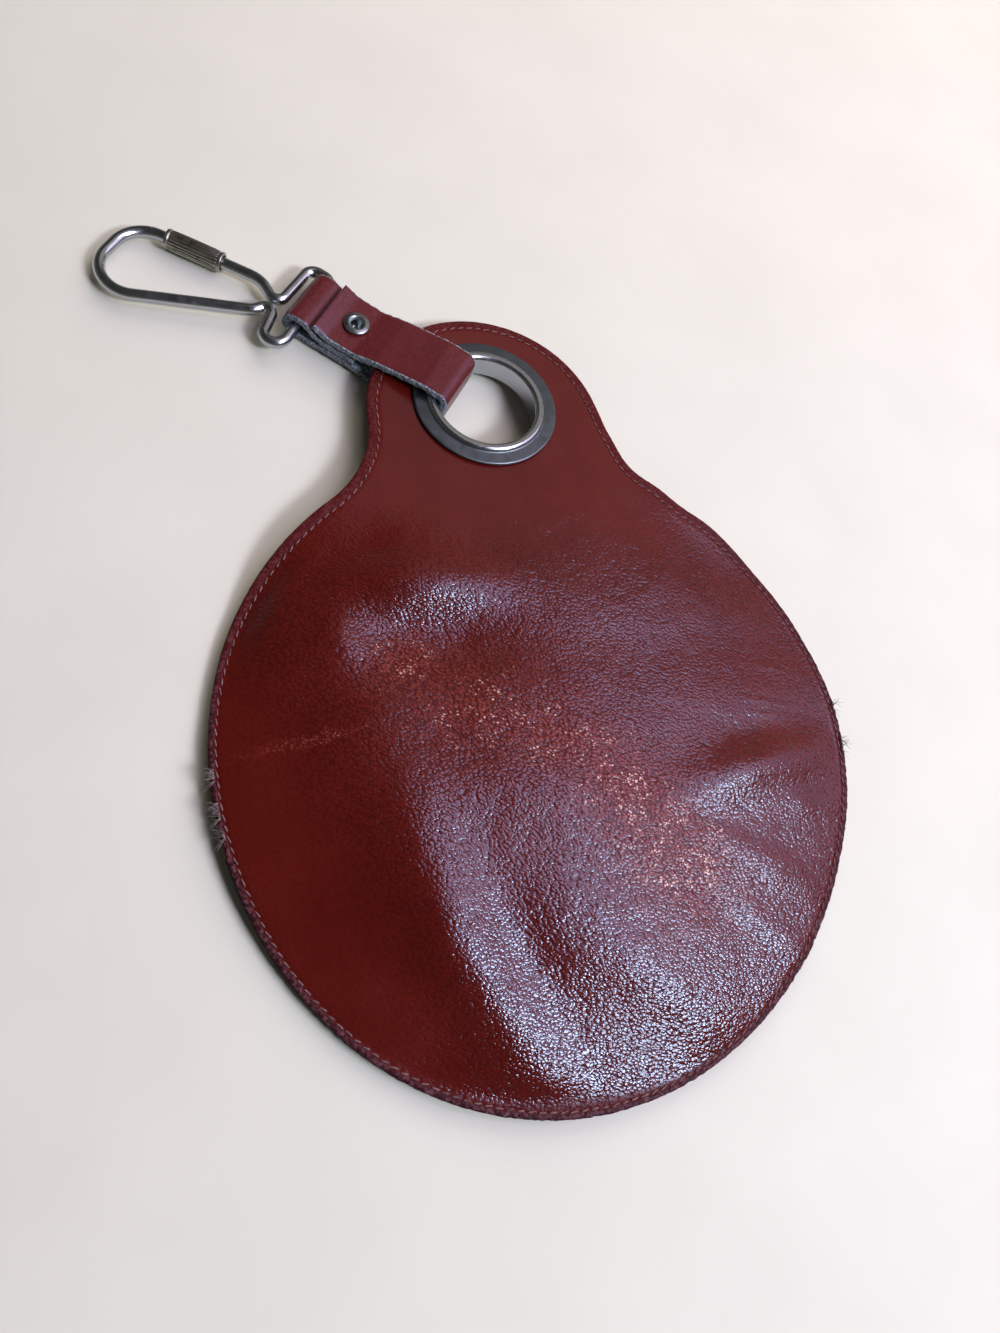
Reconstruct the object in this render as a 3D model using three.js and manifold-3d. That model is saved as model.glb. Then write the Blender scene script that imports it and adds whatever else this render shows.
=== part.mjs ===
// Round leather coin purse lying on its back, with a grommet in its neck, a riveted strap and a wire clip.
// Millimetres, +Z up. The origin is the middle of the round body on the plane it rests on, +Y runs to the neck.
import * as THREE from "three";
import { mergeVertices } from "three/addons/utils/BufferGeometryUtils.js";
import Module from "manifold-3d";

const wasm = await Module();
wasm.setup();

// Outline of the leather panels
const DISC_RADIUS = 62.3;
const NECK_RADIUS = 24.8;
const NECK_CENTRE_Y = 69.2;
const SHOULDER_RADIUS = { left: 22, right: 15 };
const OUTLINE_POINTS = 96;

// The hand-cut disc is slightly three-sided, with one side rounder than the circle at the bottom
const THREE_SIDED = { amount: 0.85, turn: THREE.MathUtils.degToRad(-16.5) };
const THREE_SIDED_FADE = [115, 150].map(THREE.MathUtils.degToRad);
const NECK_SHIFT = { x: -0.5, fromY: 30, toY: 60 };

// Leather thicknesses and the clearance between pieces
const LEATHER = 1.2;
const STRAP_LEATHER = 1.5;
const GAP = 0.3;
const FLAT_TOLERANCE = 0.004;

// Neck: lifted off the surface by the strap under it and sloping down to its end
const GROMMET_X = -0.5;
const GROMMET_Y = 72.3;
const NECK_LIFT = 3.5;
const NECK_SLOPE = THREE.MathUtils.degToRad(4);
const NECK_RISE_FROM_Y = 39;
const NECK_RISE_TO_Y = 54.5;

// The front bridges from the neck to the pocket on a longer slope, away from the rim
const FRONT_RISE_FROM_Y = 26;
const FRONT_RISE_TO_Y = 54.5;
const FRONT_RISE_INSET = [2.5, 16];

// Pocket: height of the room between the panels and the radius where it starts
const POCKET_HEIGHT = 7.8;
const POCKET_RADIUS = 59;
const POCKET_FALL = 1.05;
const POCKET_TOP_FADE = [42, 56];

// Dents and folds of the front: middle, half sizes, turn of the long side from +X and height
const RELIEF = [
  { name: "top fold", x: -20, y: 35, long: 26, wide: 7.5, turn: 12, height: 1.5 },
  { name: "basin under the top fold", x: -14, y: 15, long: 19, wide: 9, turn: 16, height: -1.5 },
  { name: "left ridge", x: -28, y: -14, long: 27, wide: 9, turn: 105, height: 1.1 },
  { name: "low ridge", x: -17, y: -44, long: 13, wide: 7, turn: 118, height: 0.9 },
  { name: "right pad", x: 31, y: -13, long: 15, wide: 9, turn: 28, height: 1.0 },
  { name: "right valley", x: 45, y: 0, long: 15, wide: 6, turn: 35, height: -0.9 },
  { name: "right shoulder pad", x: 34, y: 22, long: 14, wide: 10, turn: 60, height: -0.8 },
  { name: "low right pad", x: 30, y: -32, long: 14, wide: 8, turn: 30, height: 0.7 },
  { name: "notch", x: 18, y: -24, long: 10, wide: 5, turn: 30, height: -0.6 },
  { name: "left hollow", x: -48, y: 10, long: 16, wide: 8, turn: 75, height: -0.7 },
];

// Zip in the back, a little below the middle
const ZIP_Y = -6.5;
const SLOT_WIDTH = 9;
const TAPE_WIDTH = 22;
const TAPE_THICKNESS = 0.6;
const TAPE_INSET = 1.3;
const TOOTH_ROW_WIDTH = 5;
const TOOTH_ROW_LENGTH = 114;
const TOOTH_ROW_BOTTOM = 0.6;
const SLIDER = { x: 49, length: 10, width: 7.6, bottom: 0.45 };
const TAB = { length: 16, width: 5, bottom: 0.25, thickness: 0.5 };
const SEAM_LIFT = TAPE_THICKNESS + GAP + 0.1;
const SEAM_LIFT_SPAN = 18;

// Grommet, heights from the underside of the neck's back layer
const GROMMET_HOLE = 10.4;
const BARREL_RADIUS = 11;
const GROMMET_SIDES = 44;
const FRONT_FACE = 2 * LEATHER + 2 * GAP;
const GROMMET_PROFILE = [
  { r: 10.4, z: -0.5 },
  { r: 10.7, z: -0.8 },
  { r: 13.3, z: -0.8 },
  { r: 13.6, z: -0.55 },
  { r: 13.3, z: -GAP },
  { r: BARREL_RADIUS, z: -GAP },
  { r: BARREL_RADIUS, z: FRONT_FACE },
  { r: 14.6, z: FRONT_FACE },
  { r: 15.0, z: 3.25 },
  { r: 14.8, z: 3.48 },
  { r: 14.2, z: 3.6 },
  { r: 12.2, z: 3.65 },
  { r: 11.75, z: 4.0 },
  { r: 11.2, z: 4.2 },
  { r: 10.7, z: 4.05 },
  { r: 10.4, z: 3.6 },
];

// Strap frame: origin under the grommet's middle, x along the strap to the clip, y to its near side
const STRAP_TURN = THREE.MathUtils.degToRad(141.6);
const STRAP_WIDTH = 13;
const BAR = { x: 40.5, z: 3.3 };
const LOOP_RADIUS = 2.25;

// Middle line of the strap seen from its side, from its top end to the end between the layers
const STRAP_LINE = [
  { x: 36.9, z: 6.45, bend: 0 },
  { x: 33.6, z: 5.2, bend: 4 },
  { x: 27.6, z: 5.2, bend: 4 },
  { x: 22.4, z: 6.8, bend: 5 },
  { x: 12.0, z: 8.75, bend: 4 },
  { x: 6.85, z: 8.75, bend: 1.6 },
  { x: 6.85, z: 0.8, bend: 1.6 },
  { x: 22.5, z: 0.8, bend: 6 },
  { x: 27.5, z: 1.6, bend: 6 },
  { x: 33.5, z: 1.6, bend: 6 },
  { x: 37.5, z: BAR.z - LOOP_RADIUS, bend: 6 },
  { x: BAR.x + LOOP_RADIUS, z: BAR.z - LOOP_RADIUS, bend: LOOP_RADIUS },
  { x: BAR.x + LOOP_RADIUS, z: BAR.z + LOOP_RADIUS, bend: LOOP_RADIUS },
  { x: 39.0, z: BAR.z + LOOP_RADIUS, bend: 2 },
  { x: 35.4, z: 3.4, bend: 3 },
  { x: 27.0, z: 3.4, bend: 0 },
];
const STRAP_STEPS = 96;

// Rivet through the three layers
const RIVET_X = 30.4;
const RIVET_HOLE = 1.6;
const RIVET_SIDES = 24;
const RIVET_PROFILE = [
  { r: 0, z: 0.1 },
  { r: 2.3, z: 0.1 },
  { r: 2.5, z: 0.32 },
  { r: 2.3, z: 0.55 },
  { r: 1.3, z: 0.55 },
  { r: 1.3, z: 6.25 },
  { r: 2.45, z: 6.25 },
  { r: 2.7, z: 6.45 },
  { r: 2.45, z: 6.7 },
  { r: 1.75, z: 6.85 },
  { r: 1.25, z: 6.6 },
  { r: 1.05, z: 6.0 },
  { r: 0.95, z: 4.6 },
  { r: 0, z: 4.5 },
];

// Clip wire in the strap frame, from the tip inside the sleeve round both loops to the other tip
const WIRE_RADIUS = 1.2;
const WIRE_SIDES = 8;
const WIRE_STEPS = 104;
const CLIP_FALL = 0.036;
const GATE_END = { x: 71.6, y: 3.7 };
const GATE_TURN = Math.atan2(1.8, 11.7);
const FAR_TIP = 2.2;
const NEAR_TIP = 5.7;
const CLIP_LINE = [
  { x: 51.9, y: 0.67, bend: 6 },
  { x: 46.1, y: 4.1, bend: 1.6 },
  { x: 45.6, y: -8.2, bend: 2.2 },
  { x: BAR.x, y: -8.2, bend: 1.6 },
  { x: BAR.x, y: 12.4, bend: 2.4 },
  { x: 44.5, y: 12.4, bend: 2.0 },
  { x: 46.4, y: 3.5, bend: 1.4 },
  { x: 49.2, y: 8.0, bend: 4 },
  { x: 78.9, y: 25.1, bend: 6.5 },
  { x: 78.6, y: 4.78, bend: 7 },
];

// Sleeve on the clip's gate
const SLEEVE_LENGTH = 11.8;
const SLEEVE_RADIUS = 2.1;
const SLEEVE_GROOVE = 0.22;
const SLEEVE_RIBS = 20;
const SLEEVE_BORE = 1.5;

const leatherFinish = new THREE.MeshStandardMaterial({ name: "leather", color: 0x5a2020, roughness: 0.55 });
const strapFinish = new THREE.MeshStandardMaterial({ name: "strap_leather", color: 0x541f24, roughness: 0.6 });
const tapeFinish = new THREE.MeshStandardMaterial({ name: "zip_tape", color: 0x2a1a1a, roughness: 0.9 });
const grommetFinish = new THREE.MeshStandardMaterial({
  name: "dark_nickel", color: 0x6b6f75, roughness: 0.4, metalness: 1,
});
const nickelFinish = new THREE.MeshStandardMaterial({
  name: "nickel", color: 0xc4c4c0, roughness: 0.2, metalness: 1,
});

// Solids from triangle meshes

function toManifold(geometry) {
  const plain = geometry.clone();
  plain.deleteAttribute("normal");
  plain.deleteAttribute("uv");
  const merged = mergeVertices(plain, 1e-4);
  const mesh = new wasm.Mesh({
    numProp: 3,
    vertProperties: new Float32Array(merged.attributes.position.array),
    triVerts: new Uint32Array(merged.index.array),
  });
  return new wasm.Manifold(mesh);
}

function toGeometry(manifold) {
  const mesh = manifold.getMesh();
  const geometry = new THREE.BufferGeometry();
  geometry.setAttribute("position", new THREE.Float32BufferAttribute(mesh.vertProperties, 3));
  geometry.setIndex(new THREE.Uint32BufferAttribute(mesh.triVerts, 1));
  geometry.computeVertexNormals();
  return geometry;
}

function signedVolume(geometry) {
  const position = geometry.attributes.position;
  const index = geometry.index.array;
  const corner = [new THREE.Vector3(), new THREE.Vector3(), new THREE.Vector3()];
  let sum = 0;
  for (let i = 0; i < index.length; i += 3) {
    corner.forEach((point, k) => point.fromBufferAttribute(position, index[i + k]));
    sum += corner[0].dot(corner[1].clone().cross(corner[2])) / 6;
  }
  return sum;
}

// Merges the corners and turns the faces outward if the sweep left them inward.
function outward(geometry) {
  const plain = geometry.clone();
  plain.deleteAttribute("normal");
  plain.deleteAttribute("uv");
  const merged = mergeVertices(plain, 1e-4);
  if (signedVolume(merged) < 0) {
    const index = merged.index.array;
    for (let i = 0; i < index.length; i += 3) {
      [index[i + 1], index[i + 2]] = [index[i + 2], index[i + 1]];
    }
  }
  merged.computeVertexNormals();
  return merged;
}

function named(name, geometry, finish) {
  const mesh = new THREE.Mesh(geometry, finish);
  mesh.name = name;
  return mesh;
}

// Turned solid about +Z from a closed profile or one that starts and ends on the axis.
function turned(profile, sides) {
  const points = profile.map((p) => new THREE.Vector2(p.r, p.z));
  if (profile[0].r > 0) {
    points.push(points[0].clone());
  }
  return outward(new THREE.LatheGeometry(points, sides).rotateX(Math.PI / 2));
}

// Flat path through the corners with a round bend at each.
function roundedPath(corners) {
  const path = new THREE.Path();
  path.moveTo(corners[0].x, corners[0].y);
  for (let i = 1; i < corners.length - 1; i += 1) {
    const here = new THREE.Vector2(corners[i].x, corners[i].y);
    const back = new THREE.Vector2(corners[i - 1].x, corners[i - 1].y).sub(here).normalize();
    const ahead = new THREE.Vector2(corners[i + 1].x, corners[i + 1].y).sub(here).normalize();
    const half = Math.acos(THREE.MathUtils.clamp(back.dot(ahead), -1, 1)) / 2;
    const reach = corners[i].bend / Math.tan(half);
    const start = here.clone().addScaledVector(back, reach);
    const stop = here.clone().addScaledVector(ahead, reach);
    const middle = back.clone().add(ahead).normalize();
    const centre = here.clone().addScaledVector(middle, corners[i].bend / Math.sin(half));
    const clockwise = back.cross(ahead) > 0;
    const from = Math.atan2(start.y - centre.y, start.x - centre.x);
    const to = Math.atan2(stop.y - centre.y, stop.x - centre.x);
    path.lineTo(start.x, start.y);
    path.absarc(centre.x, centre.y, corners[i].bend, from, to, clockwise);
  }
  const last = corners[corners.length - 1];
  path.lineTo(last.x, last.y);
  return path;
}

// Leather panels

// Disc with a round neck, joined by hollow shoulders, as points at even steps.
function outlinePoints() {
  const right = shoulder(SHOULDER_RADIUS.right);
  const left = shoulder(SHOULDER_RADIUS.left);
  const path = new THREE.Path();
  path.absarc(0, 0, DISC_RADIUS, -Math.PI / 2, right.discTurn, false);
  path.absarc(right.x, right.y, SHOULDER_RADIUS.right, right.discTurn + Math.PI, right.neckTurn + Math.PI, true);
  path.absarc(0, NECK_CENTRE_Y, NECK_RADIUS, right.neckTurn, Math.PI - left.neckTurn, false);
  path.absarc(-left.x, left.y, SHOULDER_RADIUS.left, -left.neckTurn, -left.discTurn, true);
  path.absarc(0, 0, DISC_RADIUS, Math.PI - left.discTurn, 1.5 * Math.PI, false);
  return path.getSpacedPoints(OUTLINE_POINTS).slice(0, OUTLINE_POINTS).map(handCut);
}

// Middle of the shoulder's round and the turns at which it meets the disc and the neck.
function shoulder(radius) {
  const far = DISC_RADIUS + radius;
  const near = NECK_RADIUS + radius;
  const y = (far ** 2 - near ** 2 + NECK_CENTRE_Y ** 2) / (2 * NECK_CENTRE_Y);
  const x = Math.sqrt(far ** 2 - y ** 2);
  return { x, y, discTurn: Math.atan2(y, x), neckTurn: Math.atan2(y - NECK_CENTRE_Y, x) };
}

// Moves a point of the true arcs to where the hand-cut outline has it.
function handCut(p) {
  const turn = Math.atan2(p.x, -p.y);
  const fade = 1 - THREE.MathUtils.smoothstep(Math.abs(turn), ...THREE_SIDED_FADE);
  const scale = 1 + (THREE_SIDED.amount / DISC_RADIUS) * Math.cos(3 * (turn - THREE_SIDED.turn)) * fade;
  const shift = NECK_SHIFT.x * THREE.MathUtils.smoothstep(p.y * scale, NECK_SHIFT.fromY, NECK_SHIFT.toY);
  return new THREE.Vector2(p.x * scale + shift, p.y * scale);
}

function neckPlane(y) {
  return NECK_LIFT - Math.tan(NECK_SLOPE) * (y - GROMMET_Y);
}

// Underside of the back layer.
function restHeight(x, y) {
  return THREE.MathUtils.smoothstep(y, NECK_RISE_FROM_Y, NECK_RISE_TO_Y) * neckPlane(y);
}

function reliefHeight(x, y) {
  let sum = 0;
  for (const fold of RELIEF) {
    const turn = THREE.MathUtils.degToRad(fold.turn);
    const dx = x - fold.x;
    const dy = y - fold.y;
    const along = (dx * Math.cos(turn) + dy * Math.sin(turn)) / fold.long;
    const across = (dy * Math.cos(turn) - dx * Math.sin(turn)) / fold.wide;
    sum += fold.height * Math.exp(-(along ** 2 + across ** 2));
  }
  return sum;
}

// Room between the panels: a soft dome with its folds, nothing in the seam and the neck.
function pocketHeight(x, y) {
  const share = Math.hypot(x, y) / POCKET_RADIUS;
  if (share >= 1) {
    return 0;
  }
  const dome = (1 - share ** 2) ** POCKET_FALL * (1 - THREE.MathUtils.smoothstep(y, ...POCKET_TOP_FADE));
  const settle = Math.min(1, 2.5 * dome);
  return POCKET_HEIGHT * dome + settle * reliefHeight(x, y);
}

// The zip's tape is caught in the side seams and lifts the front a little there.
function seamLift(x, y) {
  const side = THREE.MathUtils.smoothstep(Math.abs(x), 0.3 * DISC_RADIUS, 0.8 * DISC_RADIUS);
  return SEAM_LIFT * side * Math.exp(-(((y - ZIP_Y) / SEAM_LIFT_SPAN) ** 4));
}

// What the front lies on: the seam at its rim, and the longer slope to the neck away from it.
function frontRest(x, y) {
  const inset = Math.max(
    DISC_RADIUS - Math.hypot(x, y), NECK_RADIUS - Math.hypot(x - NECK_SHIFT.x, y - NECK_CENTRE_Y),
  );
  const away = THREE.MathUtils.smoothstep(inset, ...FRONT_RISE_INSET);
  const longRise = THREE.MathUtils.smoothstep(y, FRONT_RISE_FROM_Y, FRONT_RISE_TO_Y) * neckPlane(y);
  return THREE.MathUtils.lerp(restHeight(x, y), longRise, away);
}

function frontInside(x, y) {
  return frontRest(x, y) + LEATHER + GAP + seamLift(x, y) + pocketHeight(x, y);
}

// Sheet between two height functions over the outline, on rings that are scaled copies of it.
function panelSheet(shares, lower, upper) {
  const rim = outlinePoints();
  const count = rim.length;
  const rings = shares.length;
  const positions = [];
  const index = [];
  for (const height of [lower, upper]) {
    positions.push(0, 0, height(0, 0));
    for (const share of shares) {
      for (const p of rim) {
        positions.push(p.x * share, p.y * share, height(p.x * share, p.y * share));
      }
    }
  }
  const layer = 1 + rings * count;
  const at = (side, ring, k) => side * layer + 1 + ring * count + (k % count);
  for (let k = 0; k < count; k += 1) {
    index.push(0, at(0, 0, k + 1), at(0, 0, k));
    index.push(layer, at(1, 0, k), at(1, 0, k + 1));
    for (let ring = 0; ring + 1 < rings; ring += 1) {
      const inner = [at(0, ring, k), at(0, ring, k + 1)];
      const outer = [at(0, ring + 1, k), at(0, ring + 1, k + 1)];
      index.push(inner[0], inner[1], outer[1], inner[0], outer[1], outer[0]);
      const innerTop = inner.map((i) => i + layer);
      const outerTop = outer.map((i) => i + layer);
      index.push(innerTop[0], outerTop[1], innerTop[1], innerTop[0], outerTop[0], outerTop[1]);
    }
    const low = [at(0, rings - 1, k), at(0, rings - 1, k + 1)];
    const high = [at(1, rings - 1, k), at(1, rings - 1, k + 1)];
    index.push(low[0], low[1], high[1], low[0], high[1], high[0]);
  }
  const geometry = new THREE.BufferGeometry();
  geometry.setAttribute("position", new THREE.Float32BufferAttribute(positions, 3));
  geometry.setIndex(index);
  return outward(geometry);
}

function box(sizeX, sizeY, sizeZ, x, y, z) {
  return new THREE.BoxGeometry(sizeX, sizeY, sizeZ).translate(x, y, z);
}

// Round bar square to the neck, for the hole that the grommet's barrel passes through.
function neckBore() {
  const bore = new THREE.CylinderGeometry(BARREL_RADIUS + GAP, BARREL_RADIUS + GAP, 30, GROMMET_SIDES);
  bore.rotateX(Math.PI / 2 - NECK_SLOPE);
  return toManifold(bore.translate(GROMMET_X, GROMMET_Y, NECK_LIFT));
}

const FRONT_SHARES = [0.1, 0.21, 0.32, 0.43, 0.54, 0.6, 0.66, 0.73, 0.81, 0.88, 0.94, 1];
const BACK_SHARES = [0.32, 0.43, 0.54, 0.6, 0.66, 0.73, 0.81, 0.88, 0.94, 1];

function frontPanel() {
  const sheet = panelSheet(FRONT_SHARES, frontInside, (x, y) => frontInside(x, y) + LEATHER);
  return toGeometry(toManifold(sheet).subtract(neckBore()));
}

function backPanel(part) {
  const sheet = panelSheet(BACK_SHARES, restHeight, (x, y) => restHeight(x, y) + LEATHER);
  const reach = 4 * DISC_RADIUS;
  const edge = ZIP_Y + (part === "upper" ? SLOT_WIDTH / 2 : -SLOT_WIDTH / 2);
  const middle = part === "upper" ? edge + reach / 2 : edge - reach / 2;
  const keep = toManifold(box(reach, reach, reach, 0, middle, 0));
  const cut = toManifold(sheet).intersect(keep);
  const done = part === "upper" ? cut.subtract(neckBore()) : cut;
  return toGeometry(done.simplify(FLAT_TOLERANCE));
}

// Zip: tape under the slot, tooth row, slider and tab as one piece
function zipPiece() {
  const top = LEATHER + GAP + TAPE_THICKNESS;
  const round = new THREE.CylinderGeometry(
    DISC_RADIUS - TAPE_INSET, DISC_RADIUS - TAPE_INSET, TAPE_THICKNESS, OUTLINE_POINTS,
  );
  round.rotateX(Math.PI / 2).translate(0, 0, top - TAPE_THICKNESS / 2);
  const strip = box(3 * DISC_RADIUS, TAPE_WIDTH, 2 * TAPE_THICKNESS, 0, ZIP_Y, top - TAPE_THICKNESS / 2);
  const rowTop = top - TAPE_THICKNESS / 2;
  const row = box(
    TOOTH_ROW_LENGTH, TOOTH_ROW_WIDTH, rowTop - TOOTH_ROW_BOTTOM, 0, ZIP_Y, (rowTop + TOOTH_ROW_BOTTOM) / 2,
  );
  const slider = box(
    SLIDER.length, SLIDER.width, rowTop - SLIDER.bottom, SLIDER.x, ZIP_Y, (rowTop + SLIDER.bottom) / 2,
  );
  const tab = box(
    TAB.length, TAB.width, TAB.thickness, SLIDER.x - SLIDER.length / 2 - TAB.length / 2 + 1, ZIP_Y,
    TAB.bottom + TAB.thickness / 2,
  );
  const tape = toManifold(round).intersect(toManifold(strip));
  return toGeometry(tape.add(toManifold(row)).add(toManifold(slider)).add(toManifold(tab)));
}

// Strap

function strapPiece() {
  const line = roundedPath(STRAP_LINE.map((p) => ({ x: p.x, y: p.z, bend: p.bend })));
  const left = [];
  const right = [];
  for (let i = 0; i <= STRAP_STEPS; i += 1) {
    const point = line.getPointAt(i / STRAP_STEPS);
    const along = line.getTangentAt(i / STRAP_STEPS);
    const side = new THREE.Vector2(-along.y, along.x).multiplyScalar(STRAP_LEATHER / 2);
    left.push(point.clone().add(side));
    right.unshift(point.clone().sub(side));
  }
  const ribbon = new THREE.ExtrudeGeometry(new THREE.Shape([...left, ...right]), {
    depth: STRAP_WIDTH, bevelEnabled: false, steps: 1,
  });
  ribbon.translate(0, 0, -STRAP_WIDTH / 2).rotateX(Math.PI / 2);
  const hole = new THREE.CylinderGeometry(RIVET_HOLE, RIVET_HOLE, 30, RIVET_SIDES);
  hole.rotateX(Math.PI / 2).translate(RIVET_X, 0, 0);
  return toGeometry(toManifold(outward(ribbon)).subtract(toManifold(hole)));
}

// Clip

function clipHeight(x) {
  return BAR.z - CLIP_FALL * (x - BAR.x);
}

function gatePoint(distance) {
  return { x: GATE_END.x - distance * Math.cos(GATE_TURN), y: GATE_END.y - distance * Math.sin(GATE_TURN), bend: 0 };
}

// Middle line of the wire, flat from above and falling with the clip.
class WireLine extends THREE.Curve {
  constructor() {
    super();
    this.flat = roundedPath([gatePoint(NEAR_TIP), ...CLIP_LINE, gatePoint(FAR_TIP)]);
  }

  getPoint(t, target = new THREE.Vector3()) {
    const p = this.flat.getPointAt(THREE.MathUtils.clamp(t, 0, 1));
    return target.set(p.x, p.y, clipHeight(p.x));
  }
}

function clipWire() {
  const section = new THREE.Shape();
  for (let k = 0; k < WIRE_SIDES; k += 1) {
    const turn = (2 * Math.PI * k) / WIRE_SIDES;
    const point = [WIRE_RADIUS * Math.cos(turn), WIRE_RADIUS * Math.sin(turn)];
    if (k === 0) {
      section.moveTo(...point);
    } else {
      section.lineTo(...point);
    }
  }
  section.closePath();
  return outward(new THREE.ExtrudeGeometry(section, { steps: WIRE_STEPS, extrudePath: new WireLine() }));
}

function clipSleeve() {
  const shape = new THREE.Shape();
  const bore = new THREE.Path();
  const corners = 2 * SLEEVE_RIBS;
  for (let k = 0; k < corners; k += 1) {
    const turn = (2 * Math.PI * k) / corners;
    const radius = k % 2 === 0 ? SLEEVE_RADIUS : SLEEVE_RADIUS - SLEEVE_GROOVE;
    const point = [radius * Math.cos(turn), radius * Math.sin(turn)];
    if (k === 0) {
      shape.moveTo(...point);
    } else {
      shape.lineTo(...point);
    }
  }
  shape.closePath();
  bore.absarc(0, 0, SLEEVE_BORE, 0, 2 * Math.PI, true);
  shape.holes.push(bore);
  const geometry = new THREE.ExtrudeGeometry(shape, { depth: SLEEVE_LENGTH, bevelEnabled: false, curveSegments: 12 });
  const start = gatePoint(0);
  const stop = gatePoint(SLEEVE_LENGTH);
  const from = new THREE.Vector3(start.x, start.y, clipHeight(start.x));
  const along = new THREE.Vector3(stop.x, stop.y, clipHeight(stop.x)).sub(from).normalize();
  const turn = new THREE.Quaternion().setFromUnitVectors(new THREE.Vector3(0, 0, 1), along);
  geometry.applyQuaternion(turn).translate(from.x, from.y, from.z);
  return outward(geometry);
}

// Assembly

const purse = new THREE.Group();
purse.name = "round_coin_purse";
purse.add(named("front_panel", frontPanel(), leatherFinish));
purse.add(named("back_panel_upper", backPanel("upper"), leatherFinish));
purse.add(named("back_panel_lower", backPanel("lower"), leatherFinish));
purse.add(named("zip", zipPiece(), tapeFinish));

const neckHardware = new THREE.Group();
neckHardware.name = "neck_hardware";
neckHardware.position.set(GROMMET_X, GROMMET_Y, NECK_LIFT);
neckHardware.rotation.x = -NECK_SLOPE;
neckHardware.add(named("grommet", turned(GROMMET_PROFILE, GROMMET_SIDES), grommetFinish));
purse.add(neckHardware);

const strapGroup = new THREE.Group();
strapGroup.name = "strap_and_clip";
strapGroup.position.set(GROMMET_X, GROMMET_Y, 0);
strapGroup.rotation.z = STRAP_TURN;
strapGroup.add(named("strap", strapPiece(), strapFinish));
strapGroup.add(named("rivet", turned(RIVET_PROFILE, RIVET_SIDES).translate(RIVET_X, 0, 0), nickelFinish));
strapGroup.add(named("clip_wire", clipWire(), nickelFinish));
strapGroup.add(named("clip_sleeve", clipSleeve(), nickelFinish));
purse.add(strapGroup);

export default purse;
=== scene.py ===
# Looks of the round coin purse that lies on its back: pebbled leather, seam, grommet, strap and wire clip.
# Sizes are millimetres in the frame of the CAD model; meshes are written in metres.
import math

import bmesh
import bpy
import numpy as np
from mathutils import Matrix, Vector, kdtree, noise


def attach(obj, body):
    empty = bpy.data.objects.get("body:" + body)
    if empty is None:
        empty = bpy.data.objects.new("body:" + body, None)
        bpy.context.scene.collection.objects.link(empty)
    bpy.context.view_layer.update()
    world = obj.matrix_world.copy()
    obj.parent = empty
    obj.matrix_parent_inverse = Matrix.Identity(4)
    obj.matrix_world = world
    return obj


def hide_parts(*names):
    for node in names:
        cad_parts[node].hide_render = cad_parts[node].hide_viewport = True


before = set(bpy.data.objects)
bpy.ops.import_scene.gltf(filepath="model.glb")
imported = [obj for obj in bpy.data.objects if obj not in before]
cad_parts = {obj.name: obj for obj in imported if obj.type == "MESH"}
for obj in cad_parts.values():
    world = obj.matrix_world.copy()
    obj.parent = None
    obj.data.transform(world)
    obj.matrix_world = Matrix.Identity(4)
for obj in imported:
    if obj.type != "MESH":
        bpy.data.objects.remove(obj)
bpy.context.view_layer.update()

MM = 0.001
SEED = 7

# Outline: a disc and a neck that two round shoulders join, the disc pulled slightly to three sides
DISC_RADIUS = 62.3
NECK_RADIUS = 24.8
NECK_CENTRE_Y = 69.2
LEFT_SHOULDER = 22
RIGHT_SHOULDER = 15
THREE_SIDED = 0.85
THREE_SIDED_TURN = math.radians(-16.5)
THREE_SIDED_FADE = (math.radians(115), math.radians(150))
NECK_SHIFT = -0.5
NECK_SHIFT_Y = (30, 60)
ARC_STEP = 0.05
FEW_POINTS = 8

# Where the hand-cut edge leaves the plain arcs: x, y, reach, push in x and push in y
EDGE_PUSHES = {
    "straight right side of the neck": (26, 63, 5.5, 1.4, 0.2),
    "tight right shoulder": (38, 48, 6.0, -0.6, -0.8),
}

# Leather layers, and the neck that the grommet holds up
LEATHER = 1.2
GAP = 0.3
GROMMET_X = -0.5
GROMMET_Y = 72.3
NECK_LIFT = 3.5
NECK_SLOPE = math.radians(4)
NECK_RISE_Y = (30, 58)

# The front's slope to the neck and the pocket's dome, drawn out more softly than in the CAD model
FRONT_RISE_Y = (14, 54.5)
FRONT_RISE_INSET = (0, 30)
POCKET_HEIGHT = 7.4
POCKET_RADIUS = 60.5
POCKET_FALL = 1.05
POCKET_TOP_FADE = (20, 56)
RELIEF_FADE = (0.5, 6)

# Soft waves all over the front, which fade out toward the rim
WAVE_SIZE = 13
WAVE_HEIGHT = 0.14
WAVE_FADE = (1, 12)

# Zip slot in the back, and the lift that the zip gives to both side seams
ZIP_Y = -6.5
SLOT_WIDTH = 9
SEAM_LIFT = 1.0
SEAM_LIFT_SPAN = 18
SEAM_LIFT_X = (0.3 * DISC_RADIUS, 0.8 * DISC_RADIUS)

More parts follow.
